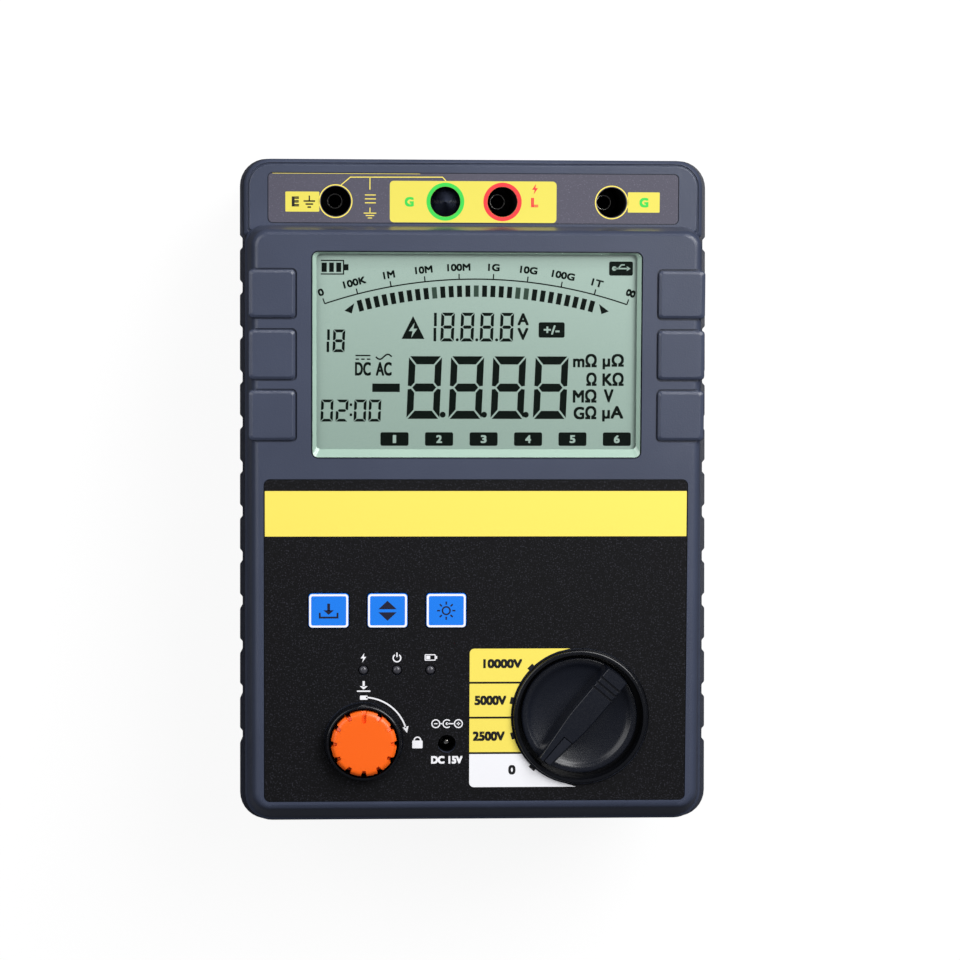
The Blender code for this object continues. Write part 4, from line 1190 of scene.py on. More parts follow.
@dataclass
class Display:
    """Liquid crystal panel with its segments, under a clear pane with a bevelled edge."""

    surface: float = 78.7
    dial: tuple[float, float] = (-0.25, -83.1)
    scale_radius: float = 153.5
    scale_half: float = 18.76
    labels: tuple[str, ...] = ("0", "100K", "1M", "10M", "100M", "1G", "10G", "100G", "1T", "∞")

    def pane(self) -> None:
        """Pane with a rounded shoulder, and a pale green band of painted light where its bevelled edge shows
        the lit display.
        """
        profile = ((-0.3, FACE_Z - 1.8), (-0.3, FACE_Z - 0.5), (-1.0, FACE_Z - 0.1), (-1.3, FACE_Z - 0.1))
        rings = [
            at(rounded(grown(WINDOW, growth), 2.0, steps=10), height)
            for growth, height in soften(profile, 0.3)
        ]
        piece("viewing_pane", [skin(rings)], Finishes.PANE, "case", ["display_window"])
        # painted light: an opaque pale green band stands for the display seen through the bevel
        outer = rounded((-53.6, 53.6, 12.3, 79.1), 1.8)
        inner = rounded((-52.3, 52.3, 14.9, 78.5), 1.4)
        low, high = FACE_Z - 1.75, FACE_Z - 0.55
        edge = skin([at(outer, low), at(outer, high), at(inner, low + 0.12), at(inner, low)], loop=True)
        piece("pane_bevel", [edge], Finishes.PANE_EDGE_PAINTED_LIGHT, "case")

    def polar(self, degrees: float, radius: float) -> np.ndarray:
        """Point on the dial at an angle clockwise from straight up."""
        angle = math.radians(degrees)
        return np.array(self.dial) + radius * np.array([math.sin(angle), math.cos(angle)])

    def scale(self, ink: Prints) -> None:
        """Curved scale with its ticks, numbers and bar graph."""
        start, end = 90.0 - self.scale_half, 90.0 + self.scale_half
        ink.plate(Ink.SEGMENT, band(self.dial, self.scale_radius, 0.42, start, end, 60))
        for index, label in enumerate(self.labels):
            turn = self.scale_half * (2.0 * index / (len(self.labels) - 1) - 1.0)
            tick = [self.polar(turn, self.scale_radius + rise) for rise in (0.0, 1.8)]
            ink.line(Ink.SEGMENT, tick, 0.4)
            middle = self.polar(turn, self.scale_radius + 3.9)
            half = 0.95 * len(label) + (0.6 if label == "∞" else 0.0)
            ink.text(Ink.SEGMENT, label, about(middle, half, 1.2), 0.13, turn=-turn)
        for index in range(29):
            turn = 14.62 * (index / 14.0 - 1.0)
            shade = Ink.FAINT if index in (9, 14, 19, 20) else Ink.SEGMENT
            ink.line(shade, [self.polar(turn, 147.75), self.polar(turn, 151.45)], 1.6)
        for side in (-1.0, 1.0):
            tip = np.array([43.2 * side, 60.0])
            ink.plate(Ink.SEGMENT, tip + np.array([(0.0, 0.0), (-3.2 * side, 2.4), (-2.4 * side, -0.9)]))

    def number(self, ink: Prints, cell: Digit, marks: str, starts: Sequence[float], y: float) -> None:
        """Row of digits."""
        for mark, x in zip(marks, starts):
            for outline in cell.segments(mark, x, y):
                ink.plate(Ink.SEGMENT, outline)

    def readings(self, ink: Prints) -> None:
        """Big reading, small reading, memory number, clock and minus sign."""
        big = Digit(10.8, 20.5, 2.65, 2.2, 0.4)
        self.number(ink, big, "8888", (-22.93, -9.17, 4.61, 18.52), 24.72)
        for x in (-11.05, 2.51, 16.21):
            ink.plate(Ink.SEGMENT, circle((x, 26.1), 0.96, 24))
        small = Digit(4.4, 9.4, 1.05, 1.0, 0.18)
        self.number(ink, small, "8888", (-11.95, -5.5, 0.9, 7.4), 50.05)
        ink.box(Ink.SEGMENT, (-14.15, -13.25, 50.1, 54.5))
        ink.box(Ink.SEGMENT, (-14.0, -13.1, 55.0, 59.4))
        for x in (-6.4, 0.0, 6.5):
            ink.plate(Ink.SEGMENT, circle((x, 50.6), 0.5, 16))
        note = Digit(3.9, 7.4, 0.95, 0.9, 0.16)
        ink.box(Ink.SEGMENT, (-49.0, -48.15, 46.5, 49.9))
        ink.box(Ink.SEGMENT, (-48.8, -47.95, 50.4, 53.9))
        self.number(ink, note, "8", (-47.1,), 46.47)
        clock = Digit(4.0, 7.2, 0.9, 0.9, 0.16)
        self.number(ink, clock, "0200", (-51.0, -46.1, -40.2, -35.4), 23.8)
        for y in (25.6, 28.9):
            ink.box(Ink.SEGMENT, (-41.45, -40.65, y, y + 0.85), 0.1)
        ink.box(Ink.SEGMENT, (-34.1, -25.1, 33.5, 36.25), 0.1)

    def signs(self, ink: Prints) -> None:
        """Battery, warning triangle, current signs, units and the boxed marks."""
        ink.line(Ink.SEGMENT, [(-50.9, 76.3), (-43.5, 76.3), (-43.5, 71.9), (-50.9, 71.9)], 0.4)
        ink.box(Ink.SEGMENT, (-43.3, -41.9, 73.1, 75.1), 0.1)
        for x_low, x_high in ((-50.65, -48.95), (-48.16, -46.66), (-45.87, -44.26)):
            ink.box(Ink.SEGMENT, (x_low, x_high, 72.55, 75.6))
        ink.box(Ink.SEGMENT, (43.2, 51.0, 71.7, 76.3), 0.6)
        ink.line(Ink.PALE, [(44.9, 74.0), (49.3, 74.0)], 0.45, 1)
        ink.plate(Ink.PALE, circle((44.9, 74.0), 0.75, 16), 1)
        ink.line(Ink.PALE, [(46.2, 74.0), (47.2, 75.2), (48.3, 75.2)], 0.4, 1)
        ink.plate(Ink.PALE, [(49.0, 74.8), (49.0, 73.2), (50.2, 74.0)], 1)
        ink.plate(Ink.SEGMENT, [(-24.57, 50.85), (-17.10, 50.85), (-20.83, 58.35)])
        ink.plate(Ink.PALE, bolt((-20.83, 53.7), 4.9), 1)
        ink.text(Ink.SEGMENT, "A", (13.3, 17.0, 55.4, 59.3), 0.16)
        ink.text(Ink.SEGMENT, "V", (13.3, 16.9, 50.6, 54.5), 0.16)
        ink.box(Ink.SEGMENT, (20.23, 28.76, 51.38, 56.40), 0.6)
        ink.text(Ink.PALE, "+/-", (21.9, 27.1, 52.4, 55.4), 0.12, 1)
        ink.text(Ink.SEGMENT, "DC", (-39.74, -34.56, 38.79, 43.28), 0.15)
        ink.text(Ink.SEGMENT, "AC", (-32.96, -27.75, 38.79, 43.28), 0.15)
        ink.line(Ink.SEGMENT, [(-39.6, 45.4), (-34.7, 45.4)], 0.45)
        for x in (-39.0, -37.15, -35.3):
            ink.line(Ink.SEGMENT, [(x - 0.55, 44.2), (x + 0.55, 44.2)], 0.45)
        along = np.linspace(-2.6, 2.6, 21)
        ink.line(Ink.SEGMENT, np.column_stack([-30.35 + along, 45.0 + 0.8 * np.sin(along * 1.2)]), 0.5)
        for text, x_low, x_high, y in (
            ("mΩ", 31.6, 39.4, 41.7),
            ("Ω", 36.0, 39.4, 35.6),
            ("MΩ", 31.6, 39.4, 30.1),
            ("GΩ", 31.9, 39.4, 24.6),
            ("µΩ", 41.3, 48.3, 41.0),
            ("KΩ", 41.3, 48.3, 35.6),
            ("V", 41.8, 45.0, 30.1),
            ("µA", 41.3, 48.3, 23.9),
        ):
            tall = 5.1 if text.startswith("µ") else 4.4
            ink.text(Ink.SEGMENT, text, (x_low, x_high, y, y + tall), 0.17)
        for index in range(6):
            centre = (-26.8 + 14.6 * index, 18.1)
            ink.box(Ink.SEGMENT, about(centre, 4.6, 2.22), 0.6)
            half = 0.55 if index == 0 else 0.95
            ink.text(Ink.PALE, str(index + 1), about(centre, half, 1.3), 0.12, 1)

    def build(self) -> None:
        """Prints the panel's segments and lays the pane over it."""
        ink = Prints("lcd", self.surface, "lcd_glass")
        self.scale(ink)
        self.readings(ink)
        self.signs(ink)
        ink.build()
        self.pane()


@dataclass
class FaceFilm:
    """Printed black film of the controls."""

    cells: tuple[float, ...] = (-62.0, -73.6, -85.4)
    panel: Area = (-2.0, 33.3, -96.75, -50.7)

    def film(self) -> None:
        """Film with its holes."""
        plan = rounded(grown(OVERLAY, -0.25), 1.8, steps=10)
        film = raw_object("face_film", [slab(plan, FACE_Z - FILM, FACE_Z)])
        low, high = FACE_Z - 2.0, FACE_Z + 1.0
        holes = control_openings(low, high)
        holes.append(slab(circle(KNOB, RING_R + 0.65, 128), low, high))
        holes.append(slab(circle(BUTTON, COLLAR_R + 0.65, 96), low, high))
        carve(film, "DIFFERENCE", holes)
        dress(film, Finishes.FACE_FILM, "case", ["control_overlay"])

    def range_cells(self, ink: Prints) -> None:
        """Yellow and white cells left of the knob, their numbers and the index marks round its ring."""
        x_low, x_high, y_low, y_high = self.panel
        edges = (y_high, *self.cells, y_low)
        for index, (top, bottom) in enumerate(zip(edges, edges[1:])):
            shade = Ink.WHITE if index == 3 else Ink.YELLOW
            upper = 1.5 if index == 0 else 0.05
            lower = 1.5 if index == 3 else 0.05
            high = top - (0.0 if index == 0 else 0.33)
            low = bottom + (0.0 if index == 3 else 0.33)
            ends = [self.reach(y) for y in np.linspace(low, high, 12)]
            curve = np.column_stack([ends, np.linspace(low, high, 12)])
            left = rounded((x_low, x_low + 8.0, low, high), lower, upper, 4)
            outline = np.vstack([left[5:15], curve])
            ink.plate(shade, outline)
        for text, area in (
            ("10000V", (2.47, 15.29, -57.19, -54.15)),
            ("5000V", (-0.36, 10.16, -69.45, -66.27)),
            ("2500V", (-0.9, 9.7, -81.35, -78.17)),
            ("0", (10.9, 13.3, -92.6, -89.4)),
        ):
            ink.text(Ink.BLACK, text, area, 0.2, 1)
        for x, y in ((19.06, -57.74), (13.13, -68.24), (12.93, -79.48), (19.11, -90.01)):
            toward = np.array(KNOB) - (x, y)
            toward /= np.linalg.norm(toward)
            middle = np.array(KNOB) - toward * (RING_R + 1.15)
            along = np.array((-toward[1], toward[0])) * 1.15
            ink.line(Ink.BLACK, [middle - along, middle + along], 0.9, 1)

    def reach(self, y: float) -> float:
        """Right end of a cell at y: the knob's ring, or the panel's own edge above and below it."""
        radius = RING_R + 0.75
        rise = abs(y - KNOB[1])
        if rise >= radius:
            return self.panel[1]
        return min(self.panel[1], KNOB[0] - math.sqrt(radius**2 - rise**2))

    def icons(self, ink: Prints) -> None:
        """Signs over the lamps and round the test button."""
        ink.plate(Ink.WHITE, bolt((LED_X["left"], -53.6), 3.2))
        x = LED_X["middle"]
        ink.plate(Ink.WHITE, band((x, -53.7), 1.25, 0.42, 125.0, 415.0, 40))
        ink.line(Ink.WHITE, [(x, -53.4), (x, -51.9)], 0.42)
        x = LED_X["right"]
        box = (x - 1.9, x + 1.7, -54.6, -52.5)
        ink.frame(Ink.WHITE, rounded(box, 0.3), rounded(grown(box, -0.32), 0.1))
        ink.box(Ink.WHITE, (x + 1.75, x + 2.2, -54.0, -53.1))
        ink.box(Ink.WHITE, (x - 1.4, x - 0.1, -54.1, -53.0))
        # press sign: a finger's arrow down onto a bar
        centre = np.array([BUTTON[0], -62.9])
        ink.plate(Ink.WHITE, centre + np.array([(-1.3, -0.1), (0.0, -1.2), (1.3, -0.1)]))
        ink.line(Ink.WHITE, [centre + (0.0, 1.6), centre + (0.0, -0.3)], 0.7)
        ink.line(Ink.WHITE, [centre + (-2.2, -1.75), centre + (2.2, -1.75)], 0.45)
        # turn arrow round the button
        ink.box(Ink.WHITE, (-38.0, -35.5, -67.5, -66.1), 0.2)
        ink.plate(Ink.WHITE, band(BUTTON, 14.5, 0.5, 17.0, 87.0, 40))
        tip = turned_flat([(14.5, -0.9), (13.5, 1.2), (15.5, 1.2)], BUTTON, math.radians(14.0))
        ink.plate(Ink.WHITE, tip)
        # padlock
        body = about((-19.1, -82.4), 1.7, 1.3)
        ink.box(Ink.WHITE, body, 0.3)
        ink.plate(Ink.WHITE, band((-19.1, -81.1), 1.1, 0.42, 0.0, 180.0, 20))
        # polarity of the inlet and its voltage
        for x in (-13.07, -9.39, -5.63):
            turn = (45.0, 315.0) if x == -9.39 else (0.0, 359.9)
            ink.plate(Ink.WHITE, band((x, -75.55), 1.3, 0.36, *turn, 40))
        ink.plate(Ink.WHITE, circle((-9.39, -75.55), 0.45, 16))
        ink.line(Ink.WHITE, [(-11.7, -75.55), (-10.75, -75.55)], 0.36)
        ink.line(Ink.WHITE, [(-9.39, -75.55), (-7.0, -75.55)], 0.36)
        ink.line(Ink.WHITE, [(-13.65, -75.55), (-12.5, -75.55)], 0.34)
        ink.line(Ink.WHITE, [(-6.2, -75.55), (-5.05, -75.55)], 0.34)
        ink.line(Ink.WHITE, [(-5.63, -76.1), (-5.63, -75.0)], 0.34)
        ink.text(Ink.WHITE, "DC 15V", (-14.57, -4.24, -88.87, -86.29), 0.16)

    def build(self) -> None:
        """Lays the film and prints it."""
        self.film()
        ink = Prints("face", FACE_Z, "black_film")
        ink.box(Ink.YELLOW, (OVERLAY[0] + 0.4, OVERLAY[1] - 0.4, -13.6, 1.3))
        self.range_cells(ink)
        self.icons(ink)
        ink.build()


@dataclass
class DeckFilm:
    """Printed grey film of the terminals."""

    middle: Area = (-27.95, 27.49, 88.6, 102.32)

    def film(self) -> None:
        """Film with four holes."""
        plan = rounded(grown(LABEL, -0.25), 1.5, steps=10)
        film = raw_object("deck_film", [slab(plan, DECK_Z - FILM, DECK_Z)])
        carve(film, "DIFFERENCE", socket_openings())
        dress(film, Finishes.DECK_FILM, "case", ["terminal_label"])

    def yellow(self, ink: Prints) -> None:
        """Yellow patch, boxes, rings and circuit line."""
        # painted shade: the patch and boxes take the darkened copy of the yellow ink
        patch = raw_object("deck_yellow_patch", [slab(rounded(self.middle, 1.3), *ink.span(0))])
        carve(patch, "DIFFERENCE", socket_openings(("guard_left", "line")))
        dress(patch, Ink.LEMON.finish(), "case")
        ink.box(Ink.LEMON, (-62.52, -51.3, 91.99, 98.61), 0.3)
        ink.box(Ink.LEMON, (51.3, 61.96, 92.19, 98.91), 0.3)
        for name in ("earth", "guard_right"):
            ink.ring(Ink.YELLOW, (SOCKET_X[name], SOCKET_Y), 5.4, 0.35)
        ink.line(Ink.YELLOW, [(-44.16, 100.8), (-41.02, 103.45), (-10.46, 103.59), (-9.3, 102.3)], 0.3)
        ink.line(Ink.YELLOW, [(-34.54, 103.5), (-34.54, 99.35)], 0.3)
        for index in range(3):
            ink.line(Ink.YELLOW, [(-36.2, 97.6 - 1.3 * index), (-32.6, 97.6 - 1.3 * index)], 0.3)
        ink.line(Ink.YELLOW, [(-34.52, 93.4), (-34.52, 91.6)], 0.3)
        for half, y in ((2.1, 91.6), (1.4, 90.8), (0.7, 90.0)):
            ink.line(Ink.YELLOW, [(-34.52 - half, y), (-34.52 + half, y)], 0.28)
        ink.line(Ink.YELLOW, [(-66.8, 104.62), (-17.9, 104.62)], 0.12)

    def signs(self, ink: Prints) -> None:
        """Coloured rings and terminal letters."""
        ink.ring(Ink.GREEN, (SOCKET_X["guard_left"], SOCKET_Y), 5.65, 1.25, 1)
        ink.ring(Ink.RED, (SOCKET_X["line"], SOCKET_Y), 5.7, 1.35, 1)
        ink.text(Ink.GREEN, "G", (-23.0, -20.0, 93.8, 97.0), 0.2, 1)
        ink.text(Ink.RED, "L", (19.0, 21.4, 93.8, 96.9), 0.25, 1)
        ink.plate(Ink.RED, bolt((20.3, 99.8), 3.5), 1)
        ink.text(Ink.BLACK, "E", (-60.4, -58.0, 93.7, 97.0), 0.22, 1)
        ink.line(Ink.BLACK, [(-54.6, 97.3), (-54.6, 95.6)], 0.45, 1)
        for half, y in ((1.9, 95.5), (1.25, 94.5), (0.6, 93.5)):
            ink.line(Ink.BLACK, [(-54.6 - half, y), (-54.6 + half, y)], 0.5, 1)
        ink.text(Ink.GREEN, "G", (55.2, 58.2, 93.9, 97.1), 0.2, 1)

    def build(self) -> None:
        """Lays the film and prints it."""
        self.film()
        ink = Prints("deck", DECK_Z, "grey_film")
        self.yellow(ink)
        self.signs(ink)
        ink.build()


@dataclass
class Keys:
    """Three rubber keys with printed signs."""

    half_x: float = 6.6
    half_y: float = 5.7

    def key(self, side: str, x: float) -> None:
        """Key with a flange behind the face and a crowned top."""
        centre = (x, KEY_Y)
        stations = (
            (2.0 - self.half_x, 75.2, 0.8),
            (2.0 - self.half_x, 76.9, 0.8),
            (1.2, 76.9, 1.4),
            (1.2, CEILING_Z - 0.6, 1.4),
            (0.0, CEILING_Z - 0.6, 1.2),
            (0.0, FACE_Z + 0.25, 1.2),
            (-0.22, FACE_Z + 0.6, 1.0),
            (-2.0, FACE_Z + 0.6, 0.6),
        )
        rings = [
            at(rounded(about(centre, self.half_x + growth, self.half_y + growth), radius, steps=8), height)
            for growth, height, radius in soften(stations, (0, 0, 0, 0, 0, 0.2, 0.2, 0), 4)
        ]
        body = f"{side}_key"
        piece(f"rubber_key_{side}", [skin(rings)], Finishes.KEY, body, [f"key_{side}"])
        ink = Prints(f"key_sign_{side}", FACE_Z + 0.6, "blue_silicone", body)
        edge = about(centre, self.half_x - 0.22, self.half_y - 0.22)
        ink.frame(Ink.WHITE, rounded(edge, 1.05), rounded(grown(edge, -0.65), 0.55))
        getattr(self, f"sign_{side}")(ink, centre)
        ink.build()

    def sign_left(self, ink: Prints, centre: tuple[float, float]) -> None:
        """Store: an arrow into a tray."""
        x, y = centre
        ink.plate(Ink.NAVY, [(x - 1.7, y + 0.2), (x, y - 1.3), (x + 1.7, y + 0.2)])
        ink.line(Ink.NAVY, [(x, y + 2.4), (x, y)], 0.9)
        tray = [(x - 2.9, y - 0.6), (x - 2.9, y - 2.2), (x + 2.9, y - 2.2), (x + 2.9, y - 0.6)]
        ink.line(Ink.NAVY, tray, 0.6)

    def sign_middle(self, ink: Prints, centre: tuple[float, float]) -> None:
        """Up and down."""
        x, y = centre
        ink.plate(Ink.NAVY, [(x - 3.0, y + 0.5), (x + 3.0, y + 0.5), (x, y + 3.3)])
        ink.plate(Ink.NAVY, [(x - 3.0, y - 0.5), (x, y - 3.3), (x + 3.0, y - 0.5)])

    def sign_right(self, ink: Prints, centre: tuple[float, float]) -> None:
        """Backlight: a sun."""
        ink.ring(Ink.NAVY, centre, 1.25, 0.5)
        for index in range(8):
            ray = turned_flat([(2.0, 0.0), (3.0, 0.0)], centre, index * math.pi / 4.0)
            ink.line(Ink.NAVY, ray, 0.5)

    def build(self) -> None:
        """Builds the three keys."""
        for side, x in KEY_X.items():
            self.key(side, x)


@dataclass
class Lamps:
    """Three unlit lamps and the charging inlet."""

    def build(self) -> None:
        """Builds domed lamps and the inlet's cup with its pin."""
        low = 72.9
        profile = soften(
            (
                (1.9, low),
                (1.9, low + 1.0),
                (1.45, low + 1.0),
                (1.45, FACE_Z - 0.3),
                (1.0, FACE_Z + 0.45),
                (0.05, FACE_Z + 0.6),
            ),
            (0, 0, 0, 0.4, 0.6, 0),
        )
        for side, x in LED_X.items():
            part = lathe((x, LED_Y), profile, 32)
            piece(f"lamp_{side}", [part], Finishes.LENS, "case", [f"led_{side}"])
        top, floor = CEILING_Z - 0.3, 64.9
        cup = ((5.2, 61.9), (5.2, top), (3.1, top), (3.1, floor))
        piece("inlet_cup", [lathe(JACK, cup, 48)], Finishes.NYLON, "case", ["dc_jack"])
        pin = soften(((1.05, floor + 0.3), (1.05, 77.2), (0.75, 77.8), (0.05, 77.8)), (0, 0.3, 0.3, 0))
        piece("inlet_pin", [lathe(JACK, pin, 32)], Finishes.NICKEL, "case", ["dc_jack_pin"])


@dataclass
class TestButton:
    """Orange fluted cap over its plunger and spring."""

    radius: float = 10.7
    top: float = 88.5
    base: float = 78.5
    flutes: int = 12
    flute_depth: float = 1.9
    gap_depth: float = 0.75
    flute_half: float = 0.8
    marker_depth: float = 3.9
    wire: float = 0.4
    coil_radius: float = 5.4
    coils: int = 4
    stroke: float = 2.9
    steps: int = 720

    def flute(self, angle: np.ndarray, depth: float, centre: float) -> np.ndarray:
        """What a notch takes off the radius: all of its depth in the middle, smoothly less at its sides."""
        away = np.abs((angle - centre + np.pi) % (2.0 * np.pi) - np.pi) * self.radius
        flat = np.clip((self.flute_half + 0.18 - away) / 0.36, 0.0, 1.0)
        return depth * flat**2 * (3.0 - 2.0 * flat)

    def cap(self) -> None:
        """Cap as radius and height over a grid: the turned profile, less each flute along its height."""
        profile = soften(
            (
                (self.radius - 0.3, self.base),
                (self.radius, self.base + 0.3),
                (self.radius, self.base + 1.6),
                (self.radius, self.base + 3.2),
                (self.radius, self.top - 2.1),
                (self.radius, self.top - 1.5),
                (self.radius, self.top - 0.9),
                (self.radius - 0.9, self.top),
                (self.radius - 4.6, self.top),
                (0.4, self.top),
            ),
            (0, 0.2, 0, 0, 0, 0, 0, 0.9, 1.2, 0),
            6,
        )
        angle = np.linspace(0.0, 2.0 * np.pi, self.steps, endpoint=False)
        radius = np.repeat(profile[:, :1], self.steps, 1)
        height = np.repeat(profile[:, 1:], self.steps, 1)
        for index in range(self.flutes):
            centre = math.pi / 2.0 + 2.0 * math.pi * index / self.flutes
            # the first flute carries the marker and has no lower part
            low = np.clip((height - self.base - 1.6) / 1.6, 0.0, 1.0) * (index > 0)
            high = np.clip((height - self.top + 2.1) / 0.6, 0.0, 1.0)
            depth = self.gap_depth * low + (self.flute_depth - self.gap_depth) * high
            limit = self.radius - self.flute(angle, 1.0, centre)[None] * depth
            radius = np.minimum(radius, limit)
        x = BUTTON[0] + radius * np.cos(angle)
        y = BUTTON[1] + radius * np.sin(angle)
        cap = raw_object("fluted_cap", [skin(np.stack([x, y, height], -1))])
        slot = rounded((-0.75, 0.75, self.radius - self.marker_depth, self.radius + 2.0), 0.74, steps=8)
        floor = slab(slot + np.array(BUTTON), self.top - 1.2, self.top + 1.0)
        carve(cap, "DIFFERENCE", [floor])
        carve(cap, "DIFFERENCE", [slab(circle(BUTTON, 7.6, 48), self.base - 1.0, 86.0)])
        dress(cap, Finishes.CAP, "cap", ["test_cap"], 40.0)

    def spring(self) -> None:
        """Spring as a round wire carried up a helix at a steady rise."""
        low, high = (corner[2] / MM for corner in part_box("test_spring"))
        turn = np.linspace(0.0, 2.0 * np.pi * self.coils, self.coils * 40 + 1)[:, None]
        around = np.linspace(0.0, 2.0 * np.pi, 12, endpoint=False)[None]
        reach = self.coil_radius + self.wire * np.cos(around)
        middle = low + self.wire + (high - low - 2.0 * self.wire) * turn / turn[-1]
        height = middle + self.wire * np.sin(around)
        grid = np.stack([BUTTON[0] + reach * np.cos(turn), BUTTON[1] + reach * np.sin(turn), height], -1)
        spring = piece("press_spring", [skin(grid)], Finishes.STEEL, "case", ["test_spring"])
        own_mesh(spring)

    def build(self) -> None:
        """Builds the cap, the spring and a smooth plunger."""
        self.cap()
        self.spring()
        profile = ((3.2, 69.0), (3.6, 69.6), (3.6, 83.0), (7.0, 83.0), (7.0, 85.7))
        part = lathe(BUTTON, profile, 40)
        piece("smooth_plunger", [part], Finishes.NYLON, "button", ["test_plunger"])


@dataclass
class RangeKnob:
    """Range knob: a round plate with two dished halves and a tall grip bar across it."""

    radius: float = 19.4
    base: float = 76.4
    rim: float = 79.9
    top: float = 87.4
    half: float = 4.2
    tip_half: float = 2.4
    tail: float = -18.2
    tip: float = 18.9

    def plan(self, growth: float) -> np.ndarray:
        """Bar seen from above: parallel, narrowing past the middle to a rounded tip."""
        half, tip = self.half + growth, self.tip_half + growth
        end = self.tip + growth * 0.3
        points = [(self.tail - 1.0, -half), (1.0, -half), (self.tip - 0.3, -tip), (end, -tip + 0.8)]
        points += [(x, -y) for x, y in reversed(points)]
        outline = soften(points, (0, 3.0, 0.6, 0.5, 0.5, 0.6, 3.0, 0), 4)
        return turned_flat(outline, KNOB, POINTER_ANGLE)

    def body(self) -> None:
        """Knob plate with a flat rim and a dish, the bar joined to it."""
        r = self.radius
        profile = soften(
            (
                (r - 0.3, self.base),
                (r, self.base + 0.3),
                (r, self.rim - 0.5),
                (r - 0.5, self.rim),
                (r - 2.1, self.rim),
                (r - 3.6, self.rim - 0.9),
                (r - 8.4, self.rim - 1.6),
                (1.0, self.rim - 1.8),
            ),
            (0, 0.2, 0.4, 0.4, 0.5, 1.2, 2.5, 0),
            6,
        )
        knob = raw_object("knob_body", [lathe(KNOB, profile, 160)])
        stations = soften(
            (
                (1.0, self.base + 0.8),
                (0.75, self.rim - 1.6),
                (0.1, self.top - 1.0),
                (-0.35, self.top),
                (-0.9, self.top),
            ),
            (0, 0, 0.8, 0.35, 0),
            5,
        )
        carve(knob, "UNION", [skin([at(self.plan(growth), height) for growth, height in stations])])
        under, over = self.base - 1.0, self.top + 1.0
        trim = ((r, under), (r + 8.0, under), (r + 8.0, over), (r - 0.7, over))
        carve(knob, "DIFFERENCE", [lathe(KNOB, trim, 160, True)])
        seat = turned_flat(rounded((8.0, 21.0, -0.6, 5.0), 0.2, steps=2), KNOB, POINTER_ANGLE)
        cuts = [slab(seat, self.top - 1.6, over)]
        for x in (-15.2, -13.2, -11.2):
            line = turned_flat(rounded((x, x + 0.8, -6.0, 6.0), 0.1, steps=2), KNOB, POINTER_ANGLE)
            cuts.append(slab(line, self.top - 0.7, over))
        carve(knob, "DIFFERENCE", cuts)
        carve(knob, "DIFFERENCE", [slab(circle(KNOB, 3.3, 40), self.base - 1.0, 82.3)])
        dress(knob, Finishes.KNOB, "range", ["range_knob"], 36.0)

    def build(self) -> None:
        """Builds the knob and its pointer insert."""
        self.body()
        wedge = np.array([(8.3, -0.3), (18.4, -0.3), (18.4, 2.0), (8.3, 2.9)])
        middle = wedge.mean(0)
        rings = []
        profile = ((0.0, self.top - 1.3), (0.0, self.top - 0.2), (0.2, self.top))
        for inset, height in soften(profile, (0, 0.15, 0)):
            shrunk = middle + (wedge - middle) * (1.0 - inset / np.array([5.0, 1.4]))
            rings.append(at(turned_flat(shrunk, KNOB, POINTER_ANGLE), height))
        piece("pointer_wedge", [skin(rings)], Finishes.INSERT, "range", ["knob_pointer"])


@dataclass
class Inside:
    """CAD nodes that keep their shape and get their finish."""

    finishes: dict[str, Finish] = field(
        default_factory=lambda: {
            "case_seal": Finishes.RUBBER,
            "lcd_panel": Finishes.LCD,
            "lcd_backlight": Finishes.DIFFUSER,
            "display_frame": Finishes.NYLON,
            "display_ribbon": Finishes.FLEX,
            "key_dome_left": Finishes.STEEL,
            "key_dome_middle": Finishes.STEEL,
            "key_dome_right": Finishes.STEEL,
            "key_board": Finishes.BOARD,
            "test_switch": Finishes.NYLON,
            "range_shaft": Finishes.STEEL,
            "range_rotor": Finishes.PHENOLIC,
            "range_switch": Finishes.NYLON,
            "main_board": Finishes.BOARD,
            "hv_module": Finishes.POTTING,
            "buzzer": Finishes.NYLON,
            "battery_pack": Finishes.WRAP,
        }
    )

    def build(self) -> None:
        """Gives each node its material."""
        for name, finish in self.finishes.items():
            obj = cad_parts[name]
            obj.data.materials.clear()
            obj.data.materials.append(finish.material())
            LOG.info("%s keeps its shape, %s", name, finish.name)


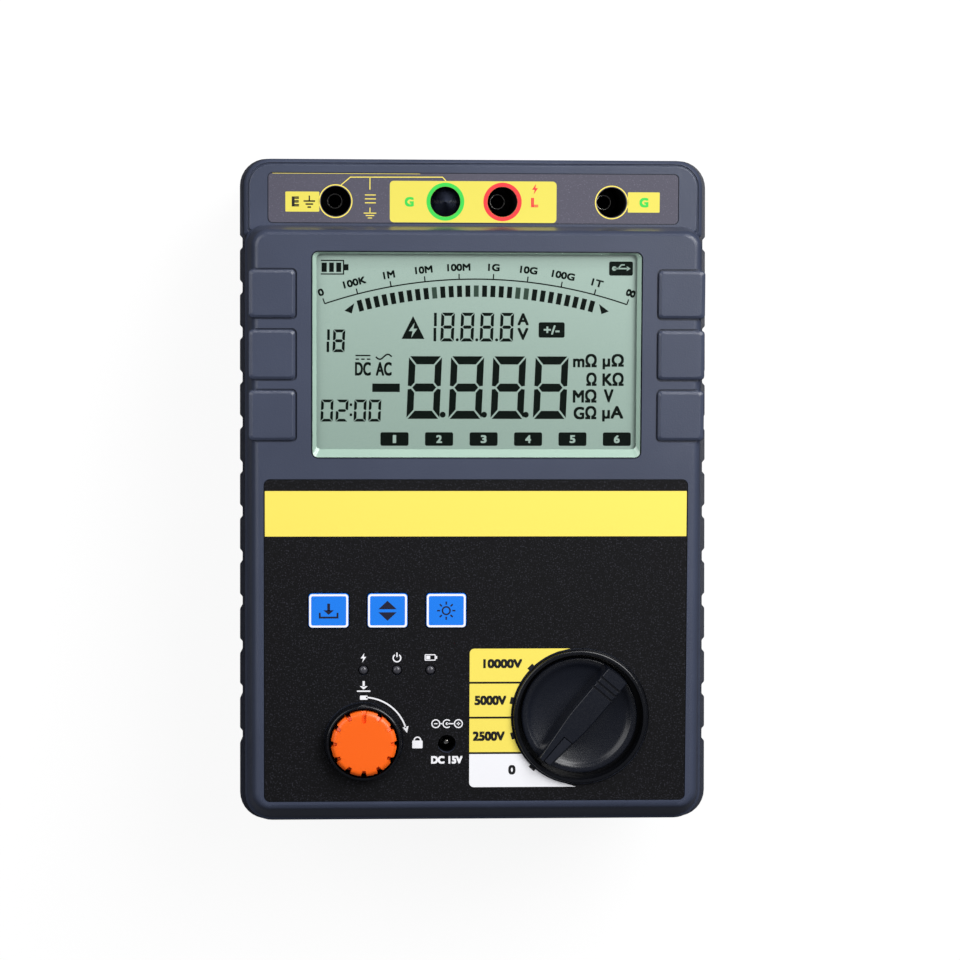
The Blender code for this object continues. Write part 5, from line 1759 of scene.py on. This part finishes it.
@dataclass
class Studio:
    """Floor, soft light and camera."""

    reach: float = 8000.0
    focal: float = 118.0
    place: tuple[float, float, float] = (-55.6, 95.75, 1105.1)
    turn: tuple[tuple[float, float, float], ...] = (
        (0.99848, 0.0, -0.05512),
        (0.004874, 0.99607, 0.08829),
        (0.0549, -0.08842, 0.99456),
    )

    def floor(self) -> None:
        """Wide floor that the feet stand on; it glows and is kept out of the case's reflections."""
        signs = np.array([(-1.0, -1.0, 0.0), (1.0, -1.0, 0.0), (1.0, 1.0, 0.0), (-1.0, 1.0, 0.0)])
        corners = signs * self.reach
        floor = raw_object("floor", [(corners, [(0, 1, 2, 3)])])
        floor.data.materials.append(Finishes.FLOOR.material())
        floor.visible_glossy = floor.visible_diffuse = False

    def softbox(self, name: str, place: Sequence[float], size: tuple[float, float], power: float) -> None:
        """Rectangular light aimed at the middle of the case."""
        light = bpy.data.lights.new(name, "AREA")
        light.shape, light.size, light.size_y, light.energy = "RECTANGLE", size[0] * MM, size[1] * MM, power
        holder = bpy.data.objects.new(name, light)
        holder.location = Vector(place) * MM
        aim = Vector((0.0, 0.0, 50.0)) * MM - holder.location
        holder.rotation_euler = aim.to_track_quat("-Z", "Y").to_euler()
        bpy.context.scene.collection.objects.link(holder)

    def world(self) -> None:
        """Dim surroundings that light the shadows, seen as plain white behind the floor."""
        world = bpy.data.worlds.new("studio")
        world.use_nodes = True
        tree = world.node_tree
        tree.nodes.clear()
        path = add(tree, "ShaderNodeLightPath")
        dim = add(tree, "ShaderNodeBackground", {"Color": linear("#f2f5ff"), "Strength": 0.07})
        bright = add(tree, "ShaderNodeBackground", {"Color": linear("#f6f6f6"), "Strength": 1.0})
        ways = {0: path.outputs["Is Camera Ray"], 1: dim.outputs[0], 2: bright.outputs[0]}
        mix = add(tree, "ShaderNodeMixShader", ways)
        add(tree, "ShaderNodeOutputWorld", {"Surface": mix.outputs[0]})
        bpy.context.scene.world = world

    def camera(self) -> None:
        """Camera above the case, a little towards the terminals and to the left."""
        data = bpy.data.cameras.new("view")
        data.lens, data.sensor_width = self.focal, 36.0
        data.clip_start, data.clip_end = 0.05, 30.0
        camera = bpy.data.objects.new("view", data)
        camera.matrix_world = Matrix.Translation(Vector(self.place) * MM) @ Matrix(self.turn).to_4x4()
        bpy.context.scene.collection.objects.link(camera)
        bpy.context.scene.camera = camera

    def build(self) -> None:
        """Sets the stage."""
        for old in [item for item in bpy.data.objects if item.type in ("LIGHT", "CAMERA")]:
            bpy.data.objects.remove(old)
        self.floor()
        self.softbox("key_light", (560.0, 540.0, 840.0), (700.0, 700.0), 12.6)
        self.softbox("fill_light", (-640.0, 300.0, 800.0), (700.0, 700.0), 3.8)
        self.softbox("sheen_light", (330.0, 130.0, 1080.0), (230.0, 260.0), 1.0)
        self.softbox("strip_light", (120.0, 900.0, 560.0), (620.0, 110.0), 2.0)
        self.world()
        self.camera()
        bpy.context.scene.view_settings.view_transform = "Standard"


def main() -> None:
    """Builds the sub-assemblies in order."""
    logging.basicConfig(level=logging.INFO, format="%(name)s: %(message)s")
    assemblies = (
        FrontShell(),
        RearShell(),
        Back(),
        Terminals(),
        Display(),
        FaceFilm(),
        DeckFilm(),
        Keys(),
        Lamps(),
        TestButton(),
        RangeKnob(),
        Inside(),
        Studio(),
    )
    for assembly in assemblies:
        assembly.build()


if __name__ == "__main__":
    main()
